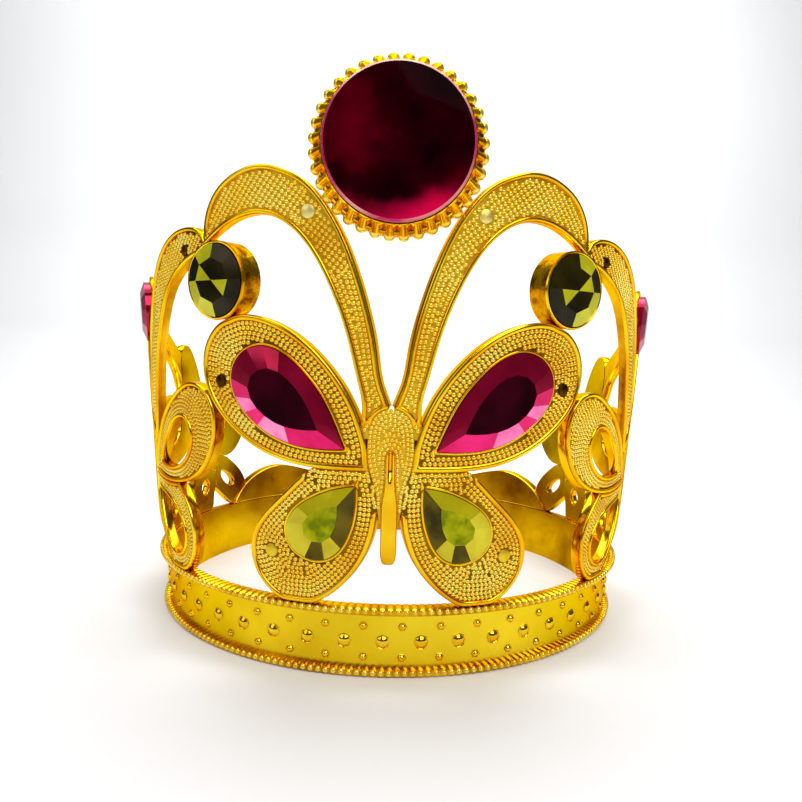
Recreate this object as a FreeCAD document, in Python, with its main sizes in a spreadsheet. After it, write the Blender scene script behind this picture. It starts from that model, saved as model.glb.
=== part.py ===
import FreeCAD, Part
import math
import os

# A toy crown: a ribbed band with butterflies of moulded plastic standing on it, and glued-in gems.
# The origin is the centre of the band's underside, +Z is up and the front faces -Y. Millimetres.
# Every moulding lies in one thin cone that opens upwards. Places on it are given as an angle about
# Z, from the front towards +X, in degrees, and a height. The right half (+X) is modelled, and the
# left half is its mirror image.

Vector = FreeCAD.Vector
ORIGIN = Vector(0, 0, 0)
UPRIGHT = Vector(0, 0, 1)
SIDEWAYS = Vector(1, 0, 0)

doc = FreeCAD.newDocument("crown")

# ---------------------------------------------------------------- driving dimensions

DIMENSIONS = [
    ("flare", 0.07, "growth of each radius per millimetre of height"),
    ("inner_radius", 70.9, "inside of the band, at the base"),
    ("back_radius", 71.8, "inside of the butterflies, at the base"),
    ("face_radius", 74.8, "outside of the butterflies, at the base"),
    ("field_radius", 74.0, "bottom of the beaded fields between the raised edges, at the base"),
    ("wall_radius", 72.7, "smooth wall of the band, at the base"),
    ("lower_rim_radius", 75.0, "outside of the band's lower rim"),
    ("upper_rim_radius", 76.4, "outside of the band's upper rim"),
    ("rim_height", 2.1, "height of each ribbed rim"),
    ("band_height", 18.0, "height of the band"),
    ("rib_depth", 0.45, "depth of the scallops round each rim"),
    ("rib_count", 236, "ribs round each rim"),
    ("moulding_top", 140.0, "above every moulding"),
    ("reach", 110.0, "length of the prisms that cut the mouldings out of the cone"),
    ("stud_count", 48, "large studs round the band"),
    ("stud_height", 8.6, "height of the row of large studs"),
    ("upper_stud_height", 12.7, "height of the upper row of small studs"),
    ("lower_stud_height", 4.6, "height of the lower row of small studs"),
    ("large_stud_radius", 1.9, "radius of a large stud"),
    ("small_stud_radius", 1.15, "radius of a small stud"),
    ("stud_proud", 0.8, "how far a stud stands out of the wall"),
    ("stud_root", 0.3, "length of a stud's blank below the wall, where the wall trims it"),
    ("side_angle", 68.0, "centre of each side butterfly"),
    ("rear_angle", 111.5, "centre of each rear butterfly"),
    ("crest_height", 125.3, "centre of the crest bezel"),
    ("crest_gem_rise", 0.1, "how far the crest gem's centre is above the bezel's"),
    ("crest_gem_radius", 16.9, "radius of the crest gem"),
    ("crest_gem_stand", 4.2, "how far the crest gem's girdle stands out of the butterflies"),
    ("crest_bezel_radius", 20.5, "outside of the crest bezel's beads"),
    ("crest_bezel_sink", 0.4, "how far the bezel's beaded disc lies behind the butterflies' faces"),
    ("crest_bezel_depth", 4.0, "depth of the bezel's beaded disc"),
    ("crest_boss_radius", 17.4, "radius of the bezel's raised boss, under the gem"),
    ("crest_boss_foot", 18.6, "radius of that boss where it joins the disc"),
    ("crest_boss_stand", 2.6, "how far the boss stands out of the butterflies"),
    ("boss_root", 1.0, "how far the boss reaches into the disc"),
    ("crest_bead_count", 36, "beads round the crest bezel"),
    ("crest_bead_depth", 0.9, "depth of the scallops between those beads"),
    ("cup_angle", 32.2, "centre of each round olive gem"),
    ("cup_height", 96.4, "height of each round olive gem"),
    ("cup_gem_radius", 8.8, "radius of each small round gem"),
    ("cup_radius", 9.6, "outside of each olive gem's cup"),
    ("cup_depth", 6.5, "depth of each olive gem's cup"),
    ("side_gem_height", 90.5, "height of each side gem"),
    ("side_seat_radius", 10.4, "radius of the disc that holds each side gem"),
    ("gem_root", 1.8, "how deep a gem sits in its pocket"),
    ("gem_proud", 1.1, "how far a gem's table stands out of its moulding"),
    ("tail_proud", 1.3, "how far the front butterfly's tail stands out of its body"),
]

sheet = doc.addObject("Spreadsheet::Sheet", "Dims")
for row, (alias, value, note) in enumerate(DIMENSIONS, start=1):
    sheet.set(f"A{row}", note)
    sheet.set(f"B{row}", str(value))
    sheet.setAlias(f"B{row}", alias)
doc.recompute()


def size(alias):
    """The value of a driving dimension."""
    return float(sheet.get(alias))


def radius_at(alias, height):
    """The named radius of the cone at a height."""
    return size(alias) + size("flare") * height


FLARE_ANGLE = math.degrees(math.atan(size("flare")))


# ---------------------------------------------------------------- building blocks


def cut(name, base, *tools):
    """base with each tool taken away from it in turn."""
    result = base
    for number, tool in enumerate(tools, start=1):
        step = doc.addObject("Part::Cut", name if number == len(tools) else f"{name}_cut_{number}")
        step.Base = result
        step.Tool = tool
        step.Refine = False
        result = step
    return result


def common(name, base, tool):
    shared = doc.addObject("Part::Common", name)
    shared.Base = base
    shared.Tool = tool
    shared.Refine = False
    return shared


def cone(name, radius, low, high):
    """A solid cone about Z between two heights, whose radius grows with the flare."""
    solid = doc.addObject("Part::Cone", name)
    solid.setExpression("Radius1", f"Dims.{radius} + Dims.flare * ({low})")
    solid.setExpression("Radius2", f"Dims.{radius} + Dims.flare * ({high})")
    solid.setExpression("Height", f"({high}) - ({low})")
    solid.setExpression("Placement.Base.z", low)
    return solid


def cone_ring(name, inner, outer, low, high):
    return cut(name, cone(f"{name}_outside", outer, low, high), cone(f"{name}_inside", inner, low, high))


def mirrored(name, source):
    """The left-hand twin of a piece from the right half."""
    twin = doc.addObject("Part::Mirroring", name)
    twin.Source = source
    twin.Base = ORIGIN
    twin.Normal = SIDEWAYS
    return twin


def smooth_curve(points):
    """One smooth curve through the points. A curve that ends where it starts has its one corner there."""
    curve = Part.BSplineCurve()
    curve.interpolate([Vector(x, y, 0) for x, y in points])
    return curve


def sketch_of(name, curves, placement):
    sketch = doc.addObject("Sketcher::SketchObject", name)
    sketch.addGeometry(curves)
    sketch.Placement = placement
    return sketch


def extrusion(name, sketch, length):
    prism = doc.addObject("Part::Extrusion", name)
    prism.Base = sketch
    prism.DirMode = "Normal"
    prism.Solid = True
    prism.setExpression("LengthFwd", length)
    return prism


def turned(angle, tilt=0.0):
    """Sketch axes at an angle about Z: x along the crown, y up and z outwards, tilted down by tilt."""
    return FreeCAD.Rotation(UPRIGHT, angle) * FreeCAD.Rotation(SIDEWAYS, 90 + tilt)


def flattened(outline, middle):
    """Places on the face cone, as seen along the radius at the middle angle."""
    return [
        (radius_at("face_radius", height) * math.sin(math.radians(angle - middle)), height)
        for angle, height in outline
    ]


def closed(outline):
    return [*outline, outline[0]]


def mirror_outline(outline, about):
    """The same outline on the other side of an angle."""
    return [(2 * about - angle, height) for angle, height in outline]


shell = cone_ring("moulding_cone", "back_radius", "face_radius", "Dims.band_height", "Dims.moulding_top")


def prism_through_cone(name, outline, middle, holes=()):
    """A prism with the outline, running outwards along the radius at the middle angle."""
    curves = [smooth_curve(flattened(closed(part), middle)) for part in (outline, *holes)]
    sketch = sketch_of(f"{name}_outline", curves, FreeCAD.Placement(ORIGIN, turned(0)))
    return extrusion(f"{name}_prism", sketch, "Dims.reach")


def moulding(name, outline, holes=()):
    """The part of the moulding cone inside an outline, with the holes through it."""
    angles = [angle for angle, _ in outline]
    middle = (min(angles) + max(angles)) / 2
    piece = common(f"{name}_blank", shell, prism_through_cone(name, outline, middle, holes))
    piece.Placement = FreeCAD.Placement(ORIGIN, FreeCAD.Rotation(UPRIGHT, middle))
    return piece


# ---------------------------------------------------------------- gems and their seats


def seat_placement(angle, height, outwards=0.0):
    """Axes on the face cone, square to it, moved outwards along its normal."""
    turn = turned(angle, FLARE_ANGLE)
    radius = radius_at("face_radius", height)
    spot = FreeCAD.Rotation(UPRIGHT, angle).multVec(Vector(0, -radius, height))
    return FreeCAD.Placement(spot + turn.multVec(Vector(0, 0, outwards)), turn)


def round_seat(name, radius, depth, angle, height, outwards=0.0):
    """A disc whose front is that far outside the face cone."""
    disc = doc.addObject("Part::Cylinder", name)
    disc.setExpression("Radius", radius)
    disc.setExpression("Height", depth)
    disc.Placement = seat_placement(angle, height, outwards - float(disc.evalExpression(depth)))
    return disc


def round_gem(name, radius, angle, height, table_share, outwards=0.0):
    """A round gem: a straight girdle in its pocket and a crown that narrows to a flat table."""
    girdle = round_seat(f"{name}_girdle", radius, "Dims.gem_root", angle, height, outwards)
    crown = doc.addObject("Part::Cone", f"{name}_crown")
    crown.setExpression("Radius1", radius)
    crown.setExpression("Radius2", f"{radius} * {table_share}")
    crown.setExpression("Height", "Dims.gem_proud")
    crown.Placement = seat_placement(angle, height, outwards)
    gem = doc.addObject("Part::Fuse", name)
    gem.Base = girdle
    gem.Tool = crown
    gem.Refine = False
    return gem


def drop_gem(name, outline, table_share):
    """A drop-shaped gem: its girdle has the outline, and its crown narrows to a table of that share."""
    angle = sum(a for a, _ in outline) / len(outline)
    height = sum(z for _, z in outline) / len(outline)
    girdle = [
        (radius_at("face_radius", z) * math.sin(math.radians(a - angle)), z - height)
        for a, z in closed(outline)
    ]
    table = [(table_share * x, table_share * y) for x, y in girdle]
    levels = [(-size("gem_root"), girdle), (0.0, girdle), (size("gem_proud"), table)]
    sections = [
        sketch_of(f"{name}_level_{number}", [smooth_curve(points)], seat_placement(angle, height, level))
        for number, (level, points) in enumerate(levels)
    ]
    gem = doc.addObject("Part::Loft", name)
    gem.Sections = sections
    gem.Solid = True
    gem.Ruled = True
    return gem


# ---------------------------------------------------------------- band


def scalloped_disc(name, radius, depth, count, placement, length, hole=None):
    """A disc with scallops round its edge, and a round hole if one is given."""
    step = 2 * math.pi / count
    geometry = []
    for number in range(count):
        corners = []
        for share, spot in ((0, radius - depth), (0.5, radius), (1, radius - depth)):
            turn = (number + share) * step
            corners.append(Vector(spot * math.cos(turn), spot * math.sin(turn), 0))
        geometry.append(Part.Arc(*corners))
    if hole:
        geometry.append(Part.Circle(ORIGIN, UPRIGHT, hole))
    return extrusion(name, sketch_of(f"{name}_outline", geometry, placement), length)


def rim(name, radius, low):
    """A ribbed rim: a scalloped ring as deep as the band, standing at a height."""
    ring = scalloped_disc(
        f"{name}_disc",
        size(radius),
        size("rib_depth"),
        int(size("rib_count")),
        FreeCAD.Placement(Vector(0, 0, low), FreeCAD.Rotation()),
        "Dims.rim_height",
    )
    opening = cone(f"{name}_opening", "inner_radius", f"{low}", f"{low} + Dims.rim_height")
    return cut(name, ring, opening)


def studs(name, radius, rows):
    """One group of glued-on studs round the wall, for each (height, first angle) row."""
    step = 360 / size("stud_count")
    solids = []
    for row, (height, start) in enumerate(rows):
        for number in range(int(size("stud_count"))):
            angle = start + number * step
            turn = turned(angle, FLARE_ANGLE)
            spot = FreeCAD.Rotation(UPRIGHT, angle).multVec(
                Vector(0, -radius_at("wall_radius", height), height)
            )
            stud = doc.addObject("Part::Cone", f"{name}_{row}_{number}")
            stud.setExpression("Radius1", f"Dims.{radius}")
            stud.setExpression("Radius2", f"Dims.{radius} * 0.55")
            stud.setExpression("Height", "Dims.stud_root + Dims.stud_proud")
            stud.Placement = FreeCAD.Placement(spot - turn.multVec(Vector(0, 0, size("stud_root"))), turn)
            solids.append(stud)
    group = doc.addObject("Part::Compound", f"{name}_blanks")
    group.Links = solids
    return cut(name, group, band_wall)


band_wall = cone_ring(
    "band_wall", "inner_radius", "wall_radius", "Dims.rim_height", "Dims.band_height - Dims.rim_height"
)
# The seam of the band's cones is turned into the gap between a large stud and a small one.
STUD_START = -0.6
stud_step = 360 / size("stud_count")
band_wall.Placement = FreeCAD.Placement(ORIGIN, FreeCAD.Rotation(UPRIGHT, STUD_START + stud_step / 4))
large_studs = studs("large_studs", "large_stud_radius", [(size("stud_height"), STUD_START)])
small_studs = studs(
    "small_studs",
    "small_stud_radius",
    [
        (size("upper_stud_height"), STUD_START + stud_step / 2),
        (size("lower_stud_height"), STUD_START + stud_step / 2),
    ],
)
lower_rim = rim("lower_rim", "lower_rim_radius", 0.0)
upper_rim = rim("upper_rim", "upper_rim_radius", size("band_height") - size("rim_height"))

# The wall rises into a low crest round the back. Its outline is seen from behind, so that one
# prism along +Y cuts it out of the cone.
CREST_END = 119.5
CREST_HALF = [
    (CREST_END, size("band_height") - 1.0),
    (124.5, 24.6),
    (130.0, 28.6),
    (137.0, 31.0),
    (144.0, 30.0),
    (153.0, 26.8),
    (165.0, 24.2),
    (180.0, 23.4),
]
crest_right = flattened(CREST_HALF, 0)
crest_left = [(-x, y) for x, y in reversed(crest_right[:-1])]
crest_top = smooth_curve(crest_right + crest_left)
crest_base = Part.LineSegment(
    Vector(crest_left[-1][0], crest_left[-1][1], 0), Vector(crest_right[0][0], crest_right[0][1], 0)
)
crest_sketch = sketch_of("back_crest_outline", [crest_top, crest_base], FreeCAD.Placement(ORIGIN, turned(0)))
crest_prism = extrusion("back_crest_prism", crest_sketch, "Dims.reach")
crest_prism.Reversed = True
crest_shell = cone_ring("back_crest_cone", "inner_radius", "face_radius", "Dims.band_height", "Dims.moulding_top")
back_crest = common("back_crest", crest_shell, crest_prism)

# ---------------------------------------------------------------- front butterfly

FRONT_BODY = [
    (0.0, 66.8),
    (1.9, 66.2),
    (3.3, 64.2),
    (4.0, 59.6),
    (3.8, 53.0),
    (2.3, 46.0),
    (1.8, 40.0),
    (0.0, 36.4),
    (-1.8, 40.0),
    (-2.3, 46.0),
    (-3.8, 53.0),
    (-4.0, 59.6),
    (-3.3, 64.2),
    (-1.9, 66.2),
]
FRONT_TAIL = [
    (0.0, 57.2),
    (0.55, 56.9),
    (0.82, 55.6),
    (0.86, 52.0),
    (1.0, 48.0),
    (1.4, 44.4),
    (1.5, 40.0),
    (1.5, 34.0),
    (1.4, 30.9),
    (0.9, 29.4),
    (0.0, 29.1),
    (-0.9, 29.4),
    (-1.4, 30.9),
    (-1.5, 34.0),
    (-1.5, 40.0),
    (-1.4, 44.4),
    (-1.0, 48.0),
    (-0.86, 52.0),
    (-0.82, 55.6),
    (-0.55, 56.9),
]
FRONT_WING = [
    (3.4, 51.8),
    (4.6, 60.0),
    (6.8, 68.0),
    (11.0, 76.7),
    (16.3, 83.4),
    (22.4, 87.4),
    (28.5, 88.1),
    (33.8, 85.0),
    (37.0, 78.2),
    (36.4, 69.6),
    (32.0, 62.0),
    (25.8, 56.3),
    (19.0, 53.0),
    (11.0, 51.8),
]
FRONT_WING_GEM = [
    (8.0, 56.7),
    (9.8, 62.8),
    (12.0, 68.8),
    (15.0, 74.2),
    (18.8, 78.8),
    (22.8, 80.8),
    (26.8, 79.6),
    (29.6, 75.6),
    (29.9, 70.4),
    (27.5, 65.0),
    (23.5, 60.6),
    (18.5, 57.7),
    (13.0, 56.6),
]
FRONT_LOWER_WING = [
    (2.0, 53.0),
    (2.1, 44.0),
    (2.6, 37.5),
    (4.2, 31.0),
    (7.0, 25.2),
    (11.0, 20.2),
    (16.6, 17.2),
    (22.6, 19.9),
    (26.1, 25.8),
    (26.5, 33.0),
    (23.5, 39.8),
    (19.0, 45.8),
    (13.0, 52.6),
    (7.0, 54.0),
]
FRONT_LOWER_GEM = [
    (6.1, 48.0),
    (10.2, 46.9),
    (14.6, 44.2),
    (17.9, 40.5),
    (19.1, 36.2),
    (18.2, 32.2),
    (15.6, 29.7),
    (12.6, 29.1),
    (9.5, 31.0),
    (7.4, 35.4),
    (6.2, 41.6),
]
FRONT_LOOP = [
    (35.3, 105.0),
    (35.0, 111.5),
    (32.4, 117.4),
    (28.0, 121.3),
    (22.9, 122.7),
    (18.6, 121.3),
    (14.6, 118.2),
    (11.7, 113.8),
    (9.3, 108.4),
    (6.6, 99.6),
    (4.5, 90.3),
    (2.95, 80.5),
    (1.8, 71.8),
    (0.9, 62.0),
    (4.6, 59.6),
    (5.1, 66.5),
    (6.0, 73.2),
    (7.1, 79.4),
    (8.6, 86.8),
    (10.9, 95.0),
    (13.3, 101.4),
    (15.9, 106.2),
    (18.9, 109.6),
    (22.3, 111.4),
    (26.0, 111.2),
    (30.9, 108.7),
]


def butterfly_body(name, outline, angle, *tools):
    """A butterfly's body at an angle about Z, from an outline drawn about the front."""
    body = common(f"{name}_blank" if tools else name, shell, prism_through_cone(name, outline, 0))
    body.Placement = FreeCAD.Placement(ORIGIN, FreeCAD.Rotation(UPRIGHT, angle))
    return cut(name, body, *tools)


tail_low = 25.0
tail_high = 60.0
tail_shell = cut(
    "front_tail_cone",
    cone("front_tail_cone_outside", "face_radius", f"{tail_low}", f"{tail_high}"),
    cone("front_tail_cone_inside", "field_radius", f"{tail_low}", f"{tail_high}"),
)
tail_shell.Base.setExpression("Radius1", f"Dims.face_radius + Dims.tail_proud + Dims.flare * {tail_low}")
tail_shell.Base.setExpression("Radius2", f"Dims.face_radius + Dims.tail_proud + Dims.flare * {tail_high}")
front_tail = common("front_tail", tail_shell, prism_through_cone("front_tail", FRONT_TAIL, 0))
front_body = butterfly_body("front_body", FRONT_BODY, 0.0, front_tail)

crest_gem_height = size("crest_height") + size("crest_gem_rise")
crest_gem = round_gem(
    "crest_gem", "Dims.crest_gem_radius", 0.0, crest_gem_height, 0.93, size("crest_gem_stand")
)
bezel_disc = scalloped_disc(
    "crest_bezel_disc",
    size("crest_bezel_radius"),
    size("crest_bead_depth"),
    int(size("crest_bead_count")),
    seat_placement(0.0, size("crest_height"), -size("crest_bezel_sink") - size("crest_bezel_depth")),
    "Dims.crest_bezel_depth",
)
bezel_boss = doc.addObject("Part::Cone", "crest_bezel_boss")
bezel_boss.setExpression("Radius1", "Dims.crest_boss_foot")
bezel_boss.setExpression("Radius2", "Dims.crest_boss_radius")
bezel_boss.setExpression("Height", "Dims.crest_bezel_sink + Dims.crest_boss_stand + Dims.boss_root")
bezel_boss.Placement = seat_placement(0.0, crest_gem_height, -size("crest_bezel_sink") - size("boss_root"))
bezel_block = doc.addObject("Part::Fuse", "crest_bezel_block")
bezel_block.Base = bezel_disc
bezel_block.Tool = bezel_boss
bezel_block.Refine = False
olive_gem = round_gem(
    "olive_gem_right", "Dims.cup_gem_radius", size("cup_angle"), size("cup_height"), 0.62, size("gem_proud")
)
olive_block = round_seat(
    "olive_cup_block",
    "Dims.cup_radius",
    "Dims.cup_depth",
    size("cup_angle"),
    size("cup_height"),
    size("gem_proud"),
)
olive_cup = cut("olive_cup_right", olive_block, olive_gem)

front_wing_gem = drop_gem("front_wing_gem_right", FRONT_WING_GEM, 0.6)
front_lower_gem = drop_gem("front_lower_gem_right", FRONT_LOWER_GEM, 0.6)
front_wing = cut("front_wing_right", moulding("front_wing", FRONT_WING), front_body, front_wing_gem, olive_block)
front_lower_wing = cut(
    "front_lower_wing_right",
    moulding("front_lower_wing", FRONT_LOWER_WING),
    front_body,
    front_tail,
    front_wing,
    front_lower_gem,
)
left_half = doc.addObject("Part::Box", "left_half")
left_half.setExpression("Length", "Dims.reach")
left_half.setExpression("Width", "2 * Dims.reach")
left_half.setExpression("Height", "Dims.moulding_top")
left_half.setExpression("Placement.Base.x", "-Dims.reach")
left_half.setExpression("Placement.Base.y", "-Dims.reach")
front_loop = cut(
    "front_loop_right",
    moulding("front_loop", FRONT_LOOP),
    left_half,
    front_body,
    front_wing,
    olive_block,
)
front_loop_left = mirrored("front_loop_left", front_loop)
crest_bezel = cut("crest_bezel", bezel_block, crest_gem, front_loop, front_loop_left)

# ---------------------------------------------------------------- side butterfly

SIDE = size("side_angle")
SIDE_BODY = [
    (0.0, 61.0),
    (2.4, 59.0),
    (3.1, 52.0),
    (2.9, 45.0),
    (2.0, 38.0),
    (0.0, 33.0),
    (-2.0, 38.0),
    (-2.9, 45.0),
    (-3.1, 52.0),
    (-2.4, 59.0),
]
SIDE_WING = [
    (64.9, 43.4),
    (62.2, 50.0),
    (58.0, 57.0),
    (52.5, 63.8),
    (46.8, 68.8),
    (41.0, 71.1),
    (36.6, 68.4),
    (34.8, 61.0),
    (36.9, 51.6),
    (41.0, 46.1),
    (47.0, 43.2),
    (56.0, 42.2),
]
SIDE_WING_HOLE = [
    (58.2, 47.2),
    (55.6, 52.2),
    (52.0, 57.0),
    (47.8, 60.7),
    (44.4, 60.8),
    (42.9, 57.2),
    (44.3, 51.8),
    (48.0, 48.2),
    (53.0, 46.9),
]
SIDE_LOWER_WING = [
    (66.6, 44.0),
    (65.4, 34.5),
    (61.8, 27.0),
    (57.0, 20.8),
    (51.6, 17.2),
    (46.6, 19.0),
    (43.6, 24.0),
    (43.0, 31.0),
    (44.9, 37.6),
    (50.0, 43.6),
    (58.0, 45.6),
]
SIDE_LOWER_HOLE = [
    (62.4, 39.0),
    (60.6, 31.4),
    (56.8, 24.9),
    (52.2, 22.2),
    (48.3, 24.0),
    (47.0, 29.0),
    (49.6, 34.4),
    (55.4, 37.6),
]
SIDE_FRONT_LOOP = [
    (34.7, 104.0),
    (37.0, 109.2),
    (41.0, 110.2),
    (45.2, 109.2),
    (49.4, 106.4),
    (53.6, 101.4),
    (57.4, 94.0),
    (60.6, 86.0),
    (63.6, 76.0),
    (66.0, 66.0),
    (67.6, 56.0),
    (63.6, 52.0),
    (60.6, 60.0),
    (58.6, 69.0),
    (56.0, 78.6),
    (52.6, 87.4),
    (49.0, 94.0),
    (45.2, 98.4),
    (40.3, 102.0),
]
SIDE_REAR_LOOP = [
    (98.6, 75.0),
    (93.5, 81.4),
    (88.2, 86.2),
    (83.0, 91.2),
    (79.0, 91.6),
    (75.4, 86.0),
    (72.4, 76.0),
    (70.0, 66.0),
    (68.4, 56.0),
    (72.4, 52.0),
    (74.4, 60.0),
    (76.4, 70.0),
    (79.0, 78.4),
    (82.4, 82.2),
    (86.6, 81.4),
    (91.0, 76.6),
    (95.4, 70.2),
    (99.4, 61.0),
    (103.0, 62.0),
]
SIDE_REAR_WING = [
    (71.1, 43.4),
    (74.0, 50.0),
    (78.4, 55.6),
    (83.8, 60.0),
    (89.6, 63.0),
    (95.4, 63.2),
    (99.8, 60.0),
    (101.4, 53.6),
    (100.0, 46.8),
    (96.0, 41.8),
    (90.0, 39.6),
    (80.0, 40.6),
]
SIDE_REAR_HOLE = [
    (78.0, 46.8),
    (80.8, 51.4),
    (84.6, 55.0),
    (89.0, 57.2),
    (92.6, 56.6),
    (94.0, 53.0),
    (92.2, 49.0),
    (88.0, 46.8),
    (83.0, 46.4),
]

side_seat_depth = "Dims.face_radius - Dims.back_radius - Dims.gem_root"
side_gem = round_gem(
    "side_gem_right", "Dims.cup_gem_radius", SIDE, size("side_gem_height"), 0.7, 0.0
)
side_seat = round_seat(
    "side_gem_seat_right",
    "Dims.side_seat_radius",
    side_seat_depth,
    SIDE,
    size("side_gem_height"),
    -size("gem_root"),
)
side_body = butterfly_body("side_body_right", SIDE_BODY, SIDE, side_seat)
side_front_wing = cut(
    "side_front_wing_right",
    moulding("side_front_wing", SIDE_WING, [SIDE_WING_HOLE]),
    side_body,
    front_wing,
)
side_rear_wing = cut(
    "side_rear_wing_right", moulding("side_rear_wing", SIDE_REAR_WING, [SIDE_REAR_HOLE]), side_body
)
side_front_lower_wing = cut(
    "side_front_lower_wing_right",
    moulding("side_front_lower_wing", SIDE_LOWER_WING, [SIDE_LOWER_HOLE]),
    side_body,
    side_front_wing,
)
side_rear_lower_wing = cut(
    "side_rear_lower_wing_right",
    moulding(
        "side_rear_lower_wing", mirror_outline(SIDE_LOWER_WING, SIDE), [mirror_outline(SIDE_LOWER_HOLE, SIDE)]
    ),
    side_body,
    side_rear_wing,
)
side_front_loop = cut(
    "side_front_loop_right",
    moulding("side_front_loop", SIDE_FRONT_LOOP),
    side_body,
    side_front_wing,
    side_seat,
    front_loop,
    olive_block,
)

# ---------------------------------------------------------------- rear butterfly

REAR = size("rear_angle")
REAR_BODY = [
    (0.0, 49.0),
    (1.9, 46.0),
    (2.4, 41.0),
    (1.9, 36.0),
    (0.0, 32.0),
    (-1.9, 36.0),
    (-2.4, 41.0),
    (-1.9, 46.0),
]
REAR_FRONT_WING = [
    (REAR - 0.6, 41.5),
    (106.0, 43.6),
    (101.6, 49.0),
    (98.8, 57.0),
    (97.2, 66.0),
    (97.0, 74.0),
    (98.6, 80.2),
    (101.2, 81.2),
    (104.0, 77.6),
    (106.6, 69.0),
    (108.4, 59.6),
    (110.6, 50.0),
]
REAR_BACK_WING = [
    (REAR + 0.6, 40.4),
    (115.4, 38.0),
    (118.8, 38.0),
    (122.6, 41.6),
    (125.2, 48.0),
    (126.6, 57.0),
    (126.4, 66.0),
    (124.9, 73.0),
    (122.6, 75.0),
    (120.2, 70.6),
    (118.8, 61.0),
    (118.0, 53.0),
    (116.6, 47.4),
    (114.2, 44.6),
]
REAR_FRONT_LEAF = [
    (REAR + 0.1, 40.5),
    (106.4, 38.8),
    (102.8, 34.8),
    (100.7, 29.0),
    (101.0, 23.0),
    (103.2, 17.6),
    (107.0, 16.4),
    (109.9, 18.4),
    (110.6, 22.4),
    (111.6, 27.0),
]
REAR_FRONT_HOLE = [
    (107.0, 30.2),
    (105.1, 28.3),
    (104.8, 25.8),
    (106.3, 24.2),
    (108.1, 25.4),
    (108.6, 28.2),
]
REAR_BACK_LEAF = [
    (REAR - 0.3, 40.5),
    (116.4, 38.4),
    (120.0, 35.0),
    (123.4, 30.4),
    (125.0, 25.4),
    (124.2, 20.4),
    (121.4, 17.2),
    (118.2, 18.8),
    (114.8, 22.8),
    (111.2, 26.6),
]
REAR_BACK_HOLE = [
    (115.0, 32.4),
    (117.6, 31.0),
    (119.9, 28.2),
    (120.2, 26.0),
    (118.2, 25.8),
    (116.0, 27.8),
    (114.7, 30.2),
]

rear_body = butterfly_body("rear_body_right", REAR_BODY, REAR)
rear_front_wing = cut(
    "rear_front_wing_right", moulding("rear_front_wing", REAR_FRONT_WING), rear_body, side_rear_wing
)
rear_back_wing = cut("rear_back_wing_right", moulding("rear_back_wing", REAR_BACK_WING), rear_body)
rear_front_leaf = cut(
    "rear_front_leaf_right",
    moulding("rear_front_leaf", REAR_FRONT_LEAF, [REAR_FRONT_HOLE]),
    rear_body,
    rear_front_wing,
    rear_back_wing,
)
rear_back_leaf = cut(
    "rear_back_leaf_right",
    moulding("rear_back_leaf", REAR_BACK_LEAF, [REAR_BACK_HOLE]),
    rear_body,
    rear_back_wing,
    rear_front_leaf,
    back_crest,
)
side_rear_loop = cut(
    "side_rear_loop_right",
    moulding("side_rear_loop", SIDE_REAR_LOOP),
    side_body,
    side_rear_wing,
    side_seat,
    side_front_loop,
    rear_front_wing,
)

# ---------------------------------------------------------------- left half, checks and files

CENTRE_PIECES = [
    band_wall,
    lower_rim,
    upper_rim,
    large_studs,
    small_studs,
    back_crest,
    front_body,
    front_tail,
    crest_bezel,
    crest_gem,
]
RIGHT_PIECES = [
    front_loop,
    front_wing,
    front_lower_wing,
    front_wing_gem,
    front_lower_gem,
    olive_cup,
    olive_gem,
    side_body,
    side_front_loop,
    side_rear_loop,
    side_front_wing,
    side_rear_wing,
    side_front_lower_wing,
    side_rear_lower_wing,
    side_seat,
    side_gem,
    rear_body,
    rear_front_wing,
    rear_back_wing,
    rear_front_leaf,
    rear_back_leaf,
]
left_pieces = [
    mirrored(piece.Name.replace("_right", "_left"), piece) for piece in RIGHT_PIECES if piece is not front_loop
]
pieces = CENTRE_PIECES + RIGHT_PIECES + [front_loop_left] + left_pieces
for piece in pieces:
    piece.Label = piece.Name
doc.recompute()

for item in doc.Objects:
    if {"Invalid", "Error"} & set(item.State):
        raise RuntimeError(f"{item.Name} failed: {item.State}")
for piece in pieces:
    if piece.Shape.isNull() or not piece.Shape.isValid() or piece.Shape.Volume <= 0:
        raise RuntimeError(f"{piece.Label} has no valid shape")

os.makedirs("parts", exist_ok=True)
for piece in pieces:
    piece.Shape.exportStep(f"parts/{piece.Label}.step")
    print(piece.Label, len(piece.Shape.Solids), round(piece.Shape.Volume, 1))
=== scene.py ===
import math

import bpy
import numpy as np
from mathutils import Matrix, Vector
from mathutils.geometry import delaunay_2d_cdt


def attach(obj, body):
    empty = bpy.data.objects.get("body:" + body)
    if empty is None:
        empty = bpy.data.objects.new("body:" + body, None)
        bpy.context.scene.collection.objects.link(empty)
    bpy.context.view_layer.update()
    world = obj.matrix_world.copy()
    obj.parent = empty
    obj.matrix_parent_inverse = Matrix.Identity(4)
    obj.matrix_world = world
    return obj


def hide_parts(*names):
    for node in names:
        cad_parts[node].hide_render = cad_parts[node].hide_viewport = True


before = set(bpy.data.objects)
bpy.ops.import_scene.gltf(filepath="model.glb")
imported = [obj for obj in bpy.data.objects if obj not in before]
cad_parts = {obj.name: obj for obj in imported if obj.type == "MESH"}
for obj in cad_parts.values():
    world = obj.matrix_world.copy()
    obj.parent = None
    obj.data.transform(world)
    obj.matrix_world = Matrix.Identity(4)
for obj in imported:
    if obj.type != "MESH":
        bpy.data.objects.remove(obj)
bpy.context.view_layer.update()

# A toy crown: a ribbed band with butterflies of gold-plated mouldings standing on it, set with
# faceted gems. The outlines of the mouldings are read from their CAD nodes. The pieces made here
# add what those carry: rounded edges, fields of fine beads, ribs and facets. Sizes are in
# millimetres until a mesh is made. A place on the crown is (u, v, out): u runs round the crown,
# measured at the radius DEVELOPED, v is the height, and out is how far it stands outside the
# butterflies' faces.

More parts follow.
